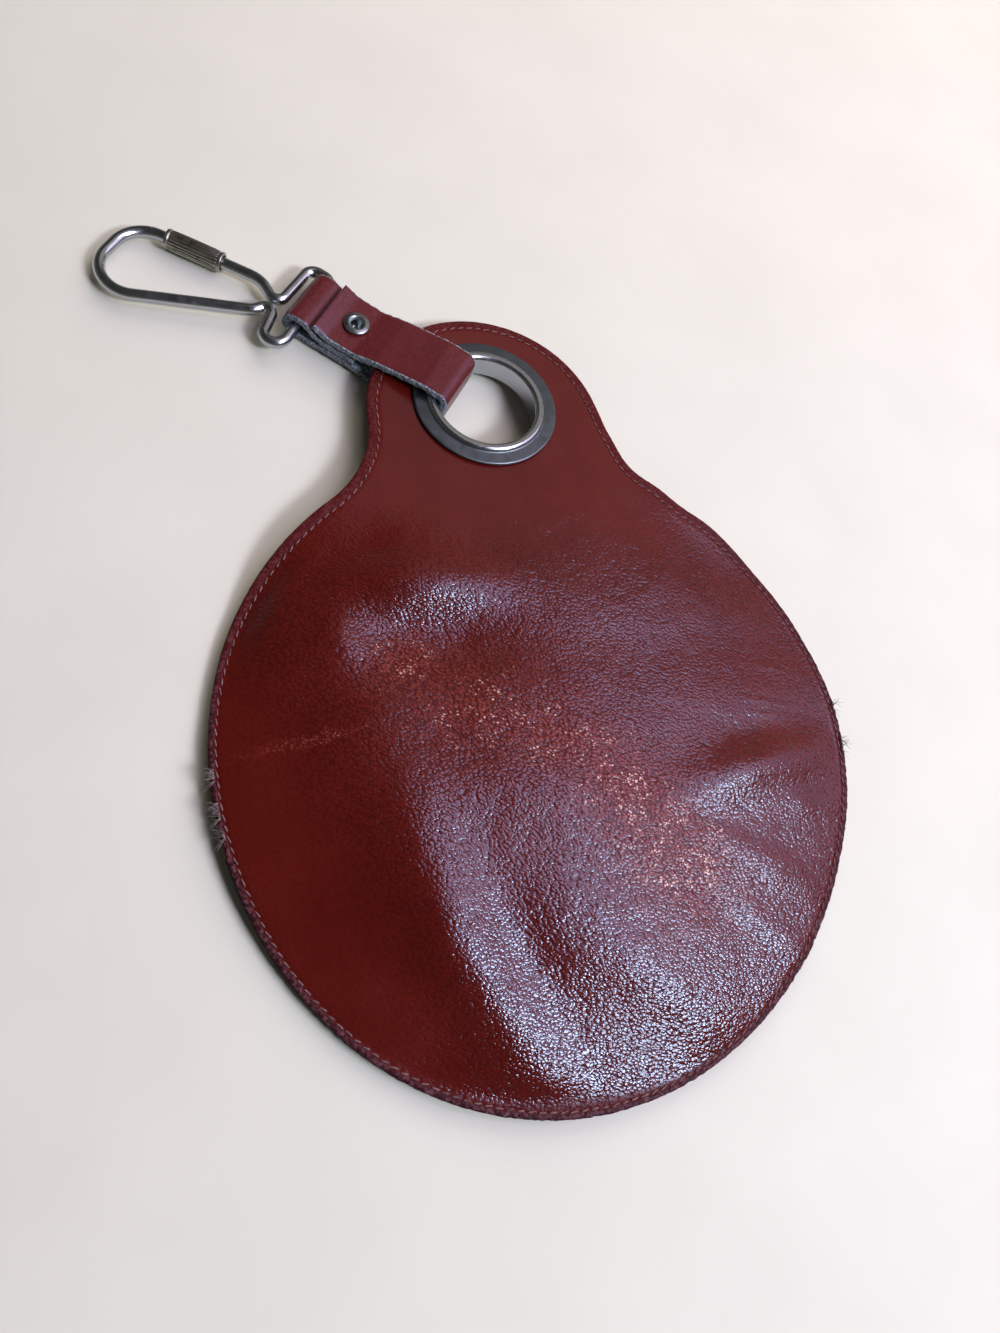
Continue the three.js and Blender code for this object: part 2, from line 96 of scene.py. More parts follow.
# Dents and folds: middle x and y, half length, half width, turn of the long side in degrees, height
RELIEF = {
    "top fold": (-22.5, 33.5, 16, 6.3, -4, 2.9),
    "basin under the top fold": (-17, 22.5, 16, 7.0, -4, -1.8),
    "left basin wall": (-37.5, 24.5, 6, 5.0, 102, 1.2),
    "slope outside the basin wall": (-47, 28, 14, 9, 110, 1.6),
    "left fold": (-31, -6, 34, 9, 100, 1.4),
    "left ridge": (-26.3, -28, 17, 7.0, 104, 1.3),
    "low left ridge": (-17, -48, 14, 6.0, 118, 1.3),
    "trough beside the ridge": (-12.5, -37, 16, 4.8, 112, -0.5),
    "plateau brow": (-14, -6, 18, 7, -6, 0.8),
    "bottom fold": (9, -43, 18, 6.5, -42, 1.0),
    "dip past the bottom fold": (24, -33, 13, 4.5, -38, -0.4),
    "right pad": (38, -9, 17, 4.6, 8, 1.9),
    "right valley": (46, -1, 15, 4.5, 3, -0.6),
    "low right pad": (38, -28, 10, 3.0, -24, 0.5),
    "left hollow": (-50, 0, 34, 8, 95, -0.3),
}

# Small creases of the front's outer face: middle x and y, half length, half width, turn in degrees, height
CREASES = {
    "first right crease": (52, 10.3, 6.7, 0.6, -15, 0.1),
    "second right crease": (46.7, 3.5, 7.6, 0.6, -12, 0.11),
    "third right crease": (44.4, 1.2, 8, 0.6, -7, 0.1),
    "first low crease": (48, -17, 10, 2.2, -8, 0.3),
    "second low crease": (30, -22, 9, 2.2, -22, 0.25),
    "third low crease": (36, -40, 12, 2.6, -40, 0.3),
    "left scratch": (-45, 6, 7, 0.5, 3, -0.12),
    "neck crease": (12, 44, 9, 1.4, 22, -0.1),
    "left rim crease": (-55, -6, 6, 1.6, -4, -0.2),
}

# Rubbed patches, in the same form, with the strength of the wear
WORN_SPOTS = {
    "under the top fold": (-27, 19, 7, 5, 10, 0.7),
    "basin": (-17, 8, 8, 6, 10, 0.55),
    "past the basin": (-3, 2, 8, 5, -20, 0.5),
    "middle": (9, -9, 13, 9, -45, 0.72),
    "notch": (19, -25, 12, 10, -35, 1.0),
    "left scratch": (-46, 6, 8, 1.0, 3, 0.8),
    "wide band": (-4, -2, 46, 19, -42, 0.3),
}

# Where the dull rim reaches further in, in the same form, with the extra reach
DULL_EDGE = {
    "foot of the ridge": (-10, -60, 14, 7, 0, 2.6),
}

# Strength of the grain and of the wear; the front's grain is full away from its neck and its left side
NECK_GRAIN = 0.22
NECK_GRAIN_Y = (34, 52)
LEFT_GRAIN = 0.45
LEFT_GRAIN_LEAN = 0.35
LEFT_GRAIN_FADE = (-54, -38)
BACK_GRAIN = 0.7
BACK_WEAR = 0.1
STRAP_GRAIN = 0.6
STRAP_WEAR = 0.12

# Seam
STITCH_PITCH = 1.9
BODY_STITCH_INSET = 1.2
NECK_STITCH_INSET = 2.0
NECK_STITCH_Y = (10, 52)
# Above this y the thread is drawn paler: painted light on the same thread
PAINTED_LIGHT_THREAD_Y = 74
STITCH_SIZE = (1.45, 0.35, 0.32)
FRONT_THREAD_RISE = 0.12
BACK_THREAD_RISE = -0.02
FRONT_STITCH_LOOK = {"turn": 0.2, "wobble": (0.0, 0.06, 0.12), "small": 0.85, "large": 1.05}
BACK_STITCH_LOOK = {"turn": 0.16, "wobble": (0.0, 0.06, 0.12), "small": 0.85, "large": 1.06}
GROOVE_DEPTH = 0.13
GROOVE_WIDTH = 0.4
GROOVE_BETWEEN = 0.55

# Rim outside the seam: its fall and round, its rough cut, and how far its dullness and dirt reach
EDGE_FALL = 0.1
EDGE_FALL_REACH = 5
RIM_ROUND = 0.2
RIM_ROUND_REACH = 0.5
RIM_ROUGH = 0.1
RIM_ROUGH_CLEANED = 0.8
RIM_NOISE_SIZE = 1.3
RIM_NOISE_REACH = 2.2
RIM_GLOSS_FADE = 0.7
DIRT_FADE = 0.6
DIRT_CLEANED = 0.6
CLEAN_RIM_Y = (4, 40)

# Rings of points in the panels
COLUMNS_PER_STITCH = 5
RIM_INSETS = (0, 0.1, 0.25, 0.5, 0.75, 0.95, 1.2, 1.4, 1.6, 1.8, 2.0, 2.25, 2.7, 3.2, 3.9, 4.8, 6.0)
INNER_RINGS = 72
HIDDEN_RINGS = 12
CUT_EDGE_RINGS = 2
RING_MIDDLE = (0, 25)
CUT_EDGE_ANGLE = math.radians(50)
REACH = 200

# Grommet, radius and height from the underside of the neck's back layer, and the round of each corner
GROMMET_SIDES = 144
GROMMET_PROFILE = (
    (10.4, 0.8, 0.0),
    (10.4, -0.8, 0.3),
    (13.6, -0.8, 0.24),
    (13.6, -0.3, 0.24),
    (11.0, -0.3, 0.1),
    (11.0, 3.0, 0.1),
    (15.0, 3.0, 0.15),
    (14.95, 3.5, 0.3),
    (12.35, 3.66, 0.3),
    (12.1, 4.4, 0.75),
    (10.4, 4.4, 0.8),
)
LIP_RADIUS = 12.2
LEATHER_HOLE = 11.3
LEATHER_HOLE_Z = (-15, 15)

# Strap in its own frame, x along it to the clip, y to its near side, z up; its line has x, z and bend
STRAP_TURN = math.radians(141.6)
STRAP_WIDTH = 13
STRAP_LEATHER = 1.5
BAR_X = 40.5
BAR_Z = 3.3
STRAP_LINE = (
    (36.9, 6.45, 0),
    (33.6, 5.2, 4),
    (27.6, 5.2, 4),
    (22.4, 6.8, 5),
    (12.0, 8.75, 4),
    (6.85, 8.75, 1.6),
    (6.85, 0.8, 1.6),
    (22.5, 0.8, 6),
    (27.5, 1.6, 6),
    (33.5, 1.6, 6),
    (37.5, 1.05, 6),
    (42.75, 1.05, 2.25),
    (42.75, 5.55, 2.25),
    (39.0, 5.55, 2),
    (35.4, 3.4, 3),
    (27.0, 3.4, 0),
)
STRAP_STEP = 0.3
STRAP_ROUND = 0.3
STRAP_BEVEL = 0.09
STRAP_TOP_POINTS = 22
STRAP_UNDER_POINTS = 10
STRAP_TORN = 0.22
STRAP_TORN_SIZE = 0.9
STRAP_TORN_THROUGH = 3

# Suede fibres along the strap's cut edges and at its raw end: length and radius, rows, counts and looks
STRAP_FIBRE = (0.9, 0.035)
EDGE_FIBRES = 420
EDGE_FIBRE_ROWS = (-0.4, 0.4)
EDGE_FIBRE_INSET = 0.15
EDGE_FIBRE_LOOK = {"wobble": (1.5, 0.7, 0.9), "small": 0.35, "large": 1.0}
END_FIBRES = 70
END_FIBRE_POINTS = 40
END_FIBRE_INSET = 0.3
END_FIBRE_SHIFT = (-0.1, -0.4)
END_FIBRE_LOOK = {"turn": -math.pi / 2, "wobble": (1.5, 0.8, 0.8), "small": 0.2, "large": 0.5}

# Rivet, radius and height, and the round of each corner
RIVET_X = 30.4
RIVET_SIDES = 64
RIVET_HOLE = 1.5
RIVET_HOLE_Z = (-5, 15)
RIVET_PROFILE = (
    (0.0, 0.1, 0.0),
    (2.5, 0.1, 0.2),
    (2.45, 0.55, 0.2),
    (1.3, 0.55, 0.05),
    (1.3, 6.25, 0.05),
    (2.7, 6.25, 0.18),
    (2.6, 6.7, 0.3),
    (1.6, 6.95, 0.4),
    (1.1, 6.3, 0.3),
    (0.95, 4.6, 0.2),
    (0.0, 4.5, 0.0),
)

# Clip wire in the strap's frame, x, y and bend; its sleeve, radius, height and the round of each corner
WIRE_RADIUS = 1.2
WIRE_SIDES = 24
WIRE_STEP = 0.35
CLIP_FALL = 0.036
GATE_END = (71.6, 3.7)
GATE_TURN = math.atan2(1.8, 11.7)
FAR_TIP = 2.2
NEAR_TIP = 5.7
CLIP_LINE = (
    (51.9, 0.67, 6),
    (46.1, 4.1, 1.6),
    (45.6, -8.2, 2.2),
    (40.5, -8.2, 1.6),
    (40.5, 12.4, 2.4),
    (44.5, 12.4, 2.0),
    (46.4, 3.5, 1.4),
    (49.2, 8.0, 4),
    (78.9, 25.1, 6.5),
    (78.6, 4.78, 7),
)
SLEEVE_LENGTH = 11.8
SLEEVE_COLLAR = 2.05
SLEEVE_CORE = 1.84
SLEEVE_BORE = 1.5
SLEEVE_SIDES = 72
SLEEVE_PROFILE = (
    (SLEEVE_BORE, 1.0, 0.0),
    (SLEEVE_BORE, 0.0, 0.1),
    (SLEEVE_COLLAR, 0.0, 0.15),
    (SLEEVE_COLLAR, 0.7, 0.15),
    (SLEEVE_CORE, 0.75, 0.03),
    (SLEEVE_CORE, SLEEVE_LENGTH - 0.75, 0.03),
    (SLEEVE_COLLAR, SLEEVE_LENGTH - 0.7, 0.15),
    (SLEEVE_COLLAR, SLEEVE_LENGTH, 0.15),
    (SLEEVE_BORE, SLEEVE_LENGTH, 0.1),
)
SLEEVE_RIBS = 20
RIB_SIZE = (10.6, 0.46, 0.52)
RIB_CIRCLE_POINTS = 120

# Zip in the back
TAPE_WIDTH = 22
TAPE_BOTTOM = 1.5
TAPE_TOP = 2.1
TAPE_INSET = 1.3
TAPE_POINTS = 40
TAPE_RINGS = 100
TOOTH_LOW = (-0.42, -1.5, -0.5)
TOOTH_HIGH = (0.42, 1.5, 0.5)
TOOTH_ROUND = 0.12
TOOTH_PITCH = 1.6
TOOTH_ROW_LENGTH = 112
TOOTH_ROW_Z = 1.15

# Slider and tab of the zip: middle x, length, width, low and high side, round of the edges
SLIDER = (49, 10, 7.6, 0.45, 1.8, 0.35)
TAB = (37, 16, 5, 0.25, 0.75, 0.2)

# Frayed tufts of the tape at both side seams: side, then middle y, width along the rim, count of fibres
FRAYS = {
    "left_tape_fray": (-1, ((2.5, 2.4, 26), (-3.5, 2.8, 26), (-8, 1.6, 16))),
    "right_tape_fray": (1, ((-6, 3.0, 16), (2, 1.5, 8))),
}
FRAY_FIBRE = (2.8, 0.1)
FRAY_POINTS = 8
FRAY_INSET = 0.7
FRAY_Z = 4.0
FRAY_LOOK = {"wobble": (2.5, 0.6, 1.0), "small": 0.3, "large": 1.0}

# Small forms: noise, bends of paths, turned profiles, beads and fibres
NOISE_FALL = 0.6
NOISE_STEP = 2.0
BEND_PARTS = 6
BEND_FINENESS = 3
STRAIGHT = 1e-4
LATHE_STEP = 0.12
BEAD_FULLNESS = 0.55
FIBRE_PARTS = 6
FIBRE_SIDES = 3
FIBRE_SWAY = 0.16
FIBRE_BEND = 2.4
FIBRE_RISE = 0.12
FIBRE_TAPER = 0.6


# Small helpers

def linear(code):
    """Linear colour from an sRGB hex code."""
    parts = [int(code[i:i + 2], 16) / 255 for i in (1, 3, 5)]
    return [c / 12.92 if c <= 0.04045 else ((c + 0.055) / 1.055) ** 2.4 for c in parts] + [1.0]


def add_node(tree, kind, inputs=None, **settings):
    """Adds a node, sets its properties, and sets or links its inputs."""
    made = tree.nodes.new(kind)
    for name, value in settings.items():
        setattr(made, name, value)
    for key, value in (inputs or {}).items():
        if isinstance(value, bpy.types.NodeSocket):
            tree.links.new(value, made.inputs[key])
        else:
            made.inputs[key].default_value = value
    return made


def smoothstep(x, low, high):
    t = np.clip((x - low) / (high - low), 0, 1)
    return t * t * (3 - 2 * t)


def noise_at(points, size, octaves=3):
    """Soft noise of about -1 to 1 at points in mm, with features of the given size."""
    return np.array([noise.fractal(Vector(p) / size, NOISE_FALL, NOISE_STEP, octaves) for p in points])


def moved(points, matrix):
    """Points under a 4 by 4 matrix in mm."""
    m = np.array(matrix)
    return np.asarray(points) @ m[:3, :3].T + m[:3, 3]


def circle(radius, sides):
    """Points on a level circle about z."""
    turns = np.linspace(0, 2 * np.pi, sides, endpoint=False)
    return np.stack([radius * np.cos(turns), radius * np.sin(turns), 0 * turns], axis=1)


def unit(vectors):
    return vectors / np.linalg.norm(vectors, axis=1)[:, None]


def lengths_along(line):
    """How far each point of a line lies from its start."""
    return np.concatenate([[0], np.cumsum(np.linalg.norm(np.diff(line, axis=0), axis=1))])


# Heights of the purse's layers

def neck_plane(y):
    return NECK_LIFT - math.tan(NECK_SLOPE) * (y - GROMMET_Y)


def rest_height(x, y):
    return smoothstep(y, *NECK_RISE_Y) * neck_plane(y)


def bumps(table, x, y):
    """Sum of the smooth bumps that a table lists."""
    total = np.zeros_like(x)
    for middle_x, middle_y, long, wide, turn, height in table.values():
        c = math.cos(math.radians(turn))
        s = math.sin(math.radians(turn))
        along = ((x - middle_x) * c + (y - middle_y) * s) / long
        across = ((y - middle_y) * c - (x - middle_x) * s) / wide
        total += height * np.exp(-(along ** 2 + across ** 2))
    return total


def pocket_height(x, y):
    share = np.minimum(np.hypot(x, y) / POCKET_RADIUS, 1)
    dome = (1 - share ** 2) ** POCKET_FALL * (1 - smoothstep(y, *POCKET_TOP_FADE))
    fade = smoothstep(DISC_RADIUS - np.hypot(x, y), *RELIEF_FADE)
    return POCKET_HEIGHT * dome + fade * bumps(RELIEF, x, y)


def seam_lift(x, y):
    side = smoothstep(np.abs(x), *SEAM_LIFT_X)
    return SEAM_LIFT * side * np.exp(-((y - ZIP_Y) / SEAM_LIFT_SPAN) ** 4)


def front_rest(x, y):
    """What the front lies on: the seam at its rim, and a longer slope to the neck away from the rim."""
    disc = DISC_RADIUS ** 2 - y ** 2
    neck = NECK_RADIUS ** 2 - (y - NECK_CENTRE_Y) ** 2
    half_width = np.sqrt(np.maximum(np.maximum(disc, neck), 0))
    away = smoothstep(half_width - np.abs(x), *FRONT_RISE_INSET)
    return rest_height(x, y) * (1 - away) + smoothstep(y, *FRONT_RISE_Y) * neck_plane(y) * away


def front_inside(x, y):
    return front_rest(x, y) + LEATHER + GAP + seam_lift(x, y) + pocket_height(x, y)


def front_face(x, y):
    flat = np.stack([x.ravel(), y.ravel(), np.zeros(x.size)], axis=1)
    wave = noise_at(flat, WAVE_SIZE).reshape(x.shape)
    settle = smoothstep(DISC_RADIUS - np.hypot(x, y), *WAVE_FADE)
    return front_inside(x, y) + LEATHER + settle * WAVE_HEIGHT * wave + bumps(CREASES, x, y)


def back_inside(x, y):
    return rest_height(x, y) + LEATHER


# Meshes

def put_in_scene(name, data):
    """Object in the scene for a mesh, a lamp or a camera."""
    made = bpy.data.objects.new(name, data)
    bpy.context.scene.collection.objects.link(made)
    return made


def mesh_from(name, work):
    """Mesh from a bmesh, which is then freed."""
    mesh = bpy.data.meshes.new(name)
    work.to_mesh(mesh)
    work.free()
    return mesh


def finish_mesh(name, mesh, finishes):
    """Object with its finishes for a mesh, with the faces turned outward."""
    for finish in finishes:
        mesh.materials.append(finish)
    work = bmesh.new()
    work.from_mesh(mesh)
    bmesh.ops.recalc_face_normals(work, faces=work.faces)
    work.to_mesh(mesh)
    work.free()
    return put_in_scene(name, mesh)


def skin(name, rings, finishes, ring_finish=None, column_finish=None, wrap=False, cap_finish=0):
    """Closed skin over rings of points in mm: columns wrap round, rings wrap or end in a cap."""
    rings = np.asarray(rings, float)
    count, sides = rings.shape[:2]
    points = rings.reshape(-1, 3) * MM
    last = count if wrap else count - 1
    ring = np.repeat(np.arange(last), sides)
    column = np.tile(np.arange(sides), last)
    after_ring = (ring + 1) % count
    after_column = (column + 1) % sides
    quads = np.stack([
        ring * sides + column,
        after_ring * sides + column,
        after_ring * sides + after_column,
        ring * sides + after_column,
    ], axis=1)
    faces = quads.tolist()
    if not wrap:
        ends = np.array([rings[0].mean(axis=0), rings[-1].mean(axis=0)]) * MM
        points = np.vstack([points, ends])
        first_end = count * sides
        for k in range(sides):
            after = (k + 1) % sides
            faces.append([first_end, k, after])
            faces.append([first_end + 1, (count - 1) * sides + after, (count - 1) * sides + k])
    mesh = bpy.data.meshes.new(name)
    mesh.from_pydata(points.tolist(), [], faces)
    slots = np.full(len(faces), cap_finish)
    slots[:len(quads)] = 0
    if ring_finish is not None:
        slots[:len(quads)] = np.asarray(ring_finish)[ring]
    if column_finish is not None:
        slots[:len(quads)] = np.asarray(column_finish)[column]
    mesh.polygons.foreach_set("material_index", slots.astype(np.int32))
    mesh.shade_smooth()
    return finish_mesh(name, mesh, finishes)


def bake(obj):
    """Writes the modifiers into the mesh and takes them off."""
    graph = bpy.context.evaluated_depsgraph_get()
    mesh = bpy.data.meshes.new_from_object(obj.evaluated_get(graph))
    obj.modifiers.clear()
    obj.data = mesh
    mesh.name = obj.name
    return obj


def drop(*objs):
    for obj in objs:
        bpy.data.objects.remove(obj, do_unlink=True)


def cut(obj, cutter, operation="DIFFERENCE"):
    """Boolean with a cutter that is then thrown away."""
    change = obj.modifiers.new("cut", "BOOLEAN")
    change.operation = operation
    change.solver = "EXACT"
    change.object = cutter
    bake(obj)
    drop(cutter)


def hole_cutter(radius, sides, place, span):
    """Round bar that cuts a hole along z of the given place."""
    rings = [circle(radius, sides) + (0, 0, z) for z in span]
    return skin("hole_cutter", moved(rings, place), [])


def box_piece(name, low, high, finishes, bevel=0.0):
    """Box between two corners in mm, with rounded edges if a bevel is given."""
    work = bmesh.new()
    bmesh.ops.create_cube(work, size=1)
    size = (np.array(high) - np.array(low)) * MM
    middle = (np.array(high) + np.array(low)) / 2 * MM
    place = Matrix.Translation(middle) @ Matrix.Diagonal((*size, 1))
    bmesh.ops.transform(work, matrix=place, verts=work.verts)
    if bevel:
        bmesh.ops.bevel(work, geom=work.edges, offset=bevel * MM, segments=3, affect="EDGES", profile=0.5)
    return finish_mesh(name, mesh_from(name, work), finishes)


def rounded_path(corners, step):
    """Points at even steps on a flat path through the corners with a round bend at each."""
    xy = [np.array(c[:2], float) for c in corners]
    line = [xy[0]]
    for i in range(1, len(xy) - 1):
        bend = corners[i][2]
        back = (xy[i - 1] - xy[i]) / np.linalg.norm(xy[i - 1] - xy[i])
        ahead = (xy[i + 1] - xy[i]) / np.linalg.norm(xy[i + 1] - xy[i])
        half = math.acos(np.clip(back @ ahead, -1, 1)) / 2
        if bend == 0 or half > math.pi / 2 - STRAIGHT:
            line.append(xy[i])
            continue
        reach = bend / math.tan(half)
        middle = (back + ahead) / np.linalg.norm(back + ahead)
        centre = xy[i] + middle * bend / math.sin(half)
        start = xy[i] + back * reach - centre
        stop = xy[i] + ahead * reach - centre
        turn = math.atan2(start[0] * stop[1] - start[1] * stop[0], start @ stop)
        parts = max(BEND_PARTS, int(abs(turn) * bend / step * BEND_FINENESS))
        for k in range(parts + 1):
            c = math.cos(turn * k / parts)
            s = math.sin(turn * k / parts)
            line.append(centre + np.array([start[0] * c - start[1] * s, start[0] * s + start[1] * c]))
    line.append(xy[-1])
    line = np.array(line)
    lengths = lengths_along(line)
    wanted = np.linspace(0, lengths[-1], max(2, int(lengths[-1] / step)))
    return np.stack([np.interp(wanted, lengths, line[:, k]) for k in range(2)], axis=1)


def lathe(name, profile, sides, finishes, place, closed, bright_inside=None):
    """Turned piece about z from a rounded profile; place is its matrix in mm."""
    corners = list(profile)
    if closed:
        corners.append(profile[0])
    line = rounded_path(corners, LATHE_STEP)
    if closed:
        line = line[:-1]
    rings = [circle(radius, sides) + (0, 0, height) for radius, height in line]
    ring_finish = None
    if bright_inside is not None:
        ring_finish = (line[:, 0] < bright_inside).astype(int)
    return skin(name, moved(rings, place), finishes, ring_finish=ring_finish, wrap=closed)


def joined(name, objs):
    """One mesh from several."""
    work = bmesh.new()
    for obj in objs:
        work.from_mesh(obj.data)
    mesh = mesh_from(name, work)
    for finish in objs[0].data.materials:
        mesh.materials.append(finish)
    mesh.shade_smooth()
    drop(*objs)
    return put_in_scene(name, mesh)


def mesh_points(obj):
    points = np.zeros(len(obj.data.vertices) * 3)
    obj.data.vertices.foreach_get("co", points)
    return points.reshape(-1, 3) / MM


def set_masks(obj, masks):
    """Stores named values at the points of a mesh for its material."""
    for name, values in masks.items():
        layer = obj.data.attributes.new(name, "FLOAT", "POINT")
        layer.data.foreach_set("value", np.asarray(values, np.float32))


# Repeats along a path, by Geometry Nodes

def repeat_tree():
    """Node tree that sets copies of a shape along the path it is given, with small random turns and sizes."""
    tree = bpy.data.node_groups.new("repeat_along_path", "GeometryNodeTree")
    for name, kind in (
        ("Path", "NodeSocketGeometry"), ("Shape", "NodeSocketObject"), ("Count", "NodeSocketInt"),
        ("Turn", "NodeSocketFloat"), ("Wobble", "NodeSocketVector"), ("Small", "NodeSocketVector"),
        ("Large", "NodeSocketVector"), ("Seed", "NodeSocketInt"), ("Finish", "NodeSocketMaterial"),
    ):
        tree.interface.new_socket(name, in_out="INPUT", socket_type=kind)
    tree.interface.new_socket("Copies", in_out="OUTPUT", socket_type="NodeSocketGeometry")
    given = add_node(tree, "NodeGroupInput").outputs
    curve = add_node(tree, "GeometryNodeMeshToCurve", {"Mesh": given["Path"]})
    points = add_node(tree, "GeometryNodeCurveToPoints", {
        "Curve": curve.outputs["Curve"], "Count": given["Count"],
    }, mode="COUNT")
    along = add_node(tree, "FunctionNodeAlignRotationToVector", {
        "Vector": points.outputs["Tangent"],
    }, axis="X", pivot_axis="Z")
    less = add_node(tree, "ShaderNodeVectorMath", {
        0: given["Wobble"], 1: (-1, -1, -1),
    }, operation="MULTIPLY")
    sway = add_node(tree, "FunctionNodeRandomValue", {
        "Min": less.outputs[0], "Max": given["Wobble"], "Seed": given["Seed"],
    }, data_type="FLOAT_VECTOR")
    set_turn = add_node(tree, "ShaderNodeCombineXYZ", {"Z": given["Turn"]})
    turned = add_node(tree, "ShaderNodeVectorMath", {
        0: sway.outputs[0], 1: set_turn.outputs[0],
    }, operation="ADD")
    extra = add_node(tree, "FunctionNodeEulerToRotation", {0: turned.outputs[0]})
    spin = add_node(tree, "FunctionNodeRotateRotation", {
        "Rotation": along.outputs[0], "Rotate By": extra.outputs[0],
    }, rotation_space="LOCAL")
    size = add_node(tree, "FunctionNodeRandomValue", {
        "Min": given["Small"], "Max": given["Large"], "Seed": given["Seed"],
    }, data_type="FLOAT_VECTOR")
    shape = add_node(tree, "GeometryNodeObjectInfo", {"Object": given["Shape"]})
    copies = add_node(tree, "GeometryNodeInstanceOnPoints", {
        "Points": points.outputs["Points"],
        "Instance": shape.outputs["Geometry"],
        "Rotation": spin.outputs[0],
        "Scale": size.outputs[0],
    })
    real = add_node(tree, "GeometryNodeRealizeInstances", {"Geometry": copies.outputs[0]})
    dressed = add_node(tree, "GeometryNodeSetMaterial", {
        "Geometry": real.outputs[0], "Material": given["Finish"],
    })
    add_node(tree, "NodeGroupOutput", {"Copies": dressed.outputs[0]})
    return tree


REPEAT = repeat_tree()


def repeat_along(name, path, closed, shape, count, finish, turn=0.0, wobble=(0, 0, 0), small=1.0, large=1.0):
    """One mesh of copies of a shape along a path of points in mm."""
    edges = [(i, i + 1) for i in range(len(path) - 1)]
    if closed:
        edges.append((len(path) - 1, 0))
    mesh = bpy.data.meshes.new(name)
    mesh.from_pydata((np.asarray(path) * MM).tolist(), edges, [])
    made = put_in_scene(name, mesh)
    change = made.modifiers.new("repeat", "NODES")
    change.node_group = REPEAT
    values = {
        "Shape": shape, "Count": count, "Turn": turn, "Wobble": wobble, "Small": [small] * 3,
        "Large": [large] * 3, "Seed": SEED, "Finish": finish,
    }
    for item in REPEAT.interface.items_tree:
        if item.name in values:
            change[item.identifier] = values[item.name]
    bake(made)
    made.data.shade_smooth()
    return made


def bead(name, size, rings=6, sides=8):
    """Long rounded bead, x along it."""
    work = bmesh.new()
    bmesh.ops.create_uvsphere(work, u_segments=sides, v_segments=rings, radius=0.5)
    turn = Matrix.Rotation(math.pi / 2, 4, "Y")
    bmesh.ops.transform(work, matrix=turn, verts=work.verts)
    for vert in work.verts:
        fullness = abs(vert.co.x * 2) ** BEAD_FULLNESS * math.copysign(0.5, vert.co.x)
        vert.co = Vector((fullness * size[0], vert.co.y * size[1], vert.co.z * size[2])) * MM
    return finish_mesh(name, mesh_from(name, work), [])


def fibre(name, length, radius):
    """Thin tapered fibre that starts at the origin and curls along x."""
    turns = np.arange(FIBRE_SIDES) * 2 * np.pi / FIBRE_SIDES
    rings = []
    for k in range(FIBRE_PARTS + 1):
        t = k / FIBRE_PARTS
        sway = FIBRE_SWAY * length * math.sin(FIBRE_BEND * t)
        middle = np.array([length * t, sway, FIBRE_RISE * length * t * t])
        width = radius * (1 - FIBRE_TAPER * t)
        rings.append([middle + width * np.array([0, math.cos(a), math.sin(a)]) for a in turns])
    return skin(name, rings, [])


# Materials: sockets of a colour Mix node

FACTOR = 0
FIRST = 6
SECOND = 7
MIXED = 2

# Noises of the leather: size in mm and detail
DRIFT = (2.2, 2.0)
CLOUDS = (14, 4.0)
CLUMPS = (3.6, 3.0)
SCUFFS = (0.7, 3.0)

# Grain and rubbed marks of the leather in mm, and how strongly they act
GRAIN_TURN = math.radians(-27)
GRAIN_STRETCH = 1.4
DRIFT_BY = 0.8
WRINKLE_SHARE = 0.6
WRINKLE_HEIGHT = 0.3
PEBBLE_HEIGHT = 0.9
FLECK_MM = 0.38
FLECK_LIMIT = 0.995
FLECK_LIMIT_WORN = -0.82
FLECK_FADE = 0.3
DIRT_LEAST = 0.62
DIRT_UNEVEN = 0.5
SHINE = 0.5
SHINE_WORN = -0.26
SHINE_RIM = -0.42
ROUGH_SPREAD = (-0.03, 0.05)
ROUGH_WORN = 0.04
ROUGH_RIM = 0.25

# Ranges that turn distances and noises into shares: from low and high, to low and high
# The crease share sets how much painted shade darkens the creases between pebbles
CREASE_SHADE_SHARE = (0.25, 0.7, 0.0, 0.45)
TOP_SHARE = (0.15, 0.55, 0.5, 0.06)
CLUMP_SHARE = (0.42, 0.66, 0.0, 1.0)
SCUFF_SHARE = (0.45, 0.75, 0.0, 1.0)
FLECK_SHARE = (0.15, 0.52, 0.85, 0.0)

# Wear of plated metal in mm, and how it spreads the roughness
METAL_WEAR_MM = 1.6
METAL_ROUGH_SPREAD = (0.75, 1.35)


def new_finish(name):
    """Material with a shader, and the place on the object that its textures follow."""
    finish = bpy.data.materials.new(name)
    finish.use_nodes = True
    tree = finish.node_tree
    tree.nodes.clear()
    shader = add_node(tree, "ShaderNodeBsdfPrincipled")
    add_node(tree, "ShaderNodeOutputMaterial", {"Surface": shader.outputs[0]})
    return finish, tree, shader, add_node(tree, "ShaderNodeTexCoord").outputs["Object"]


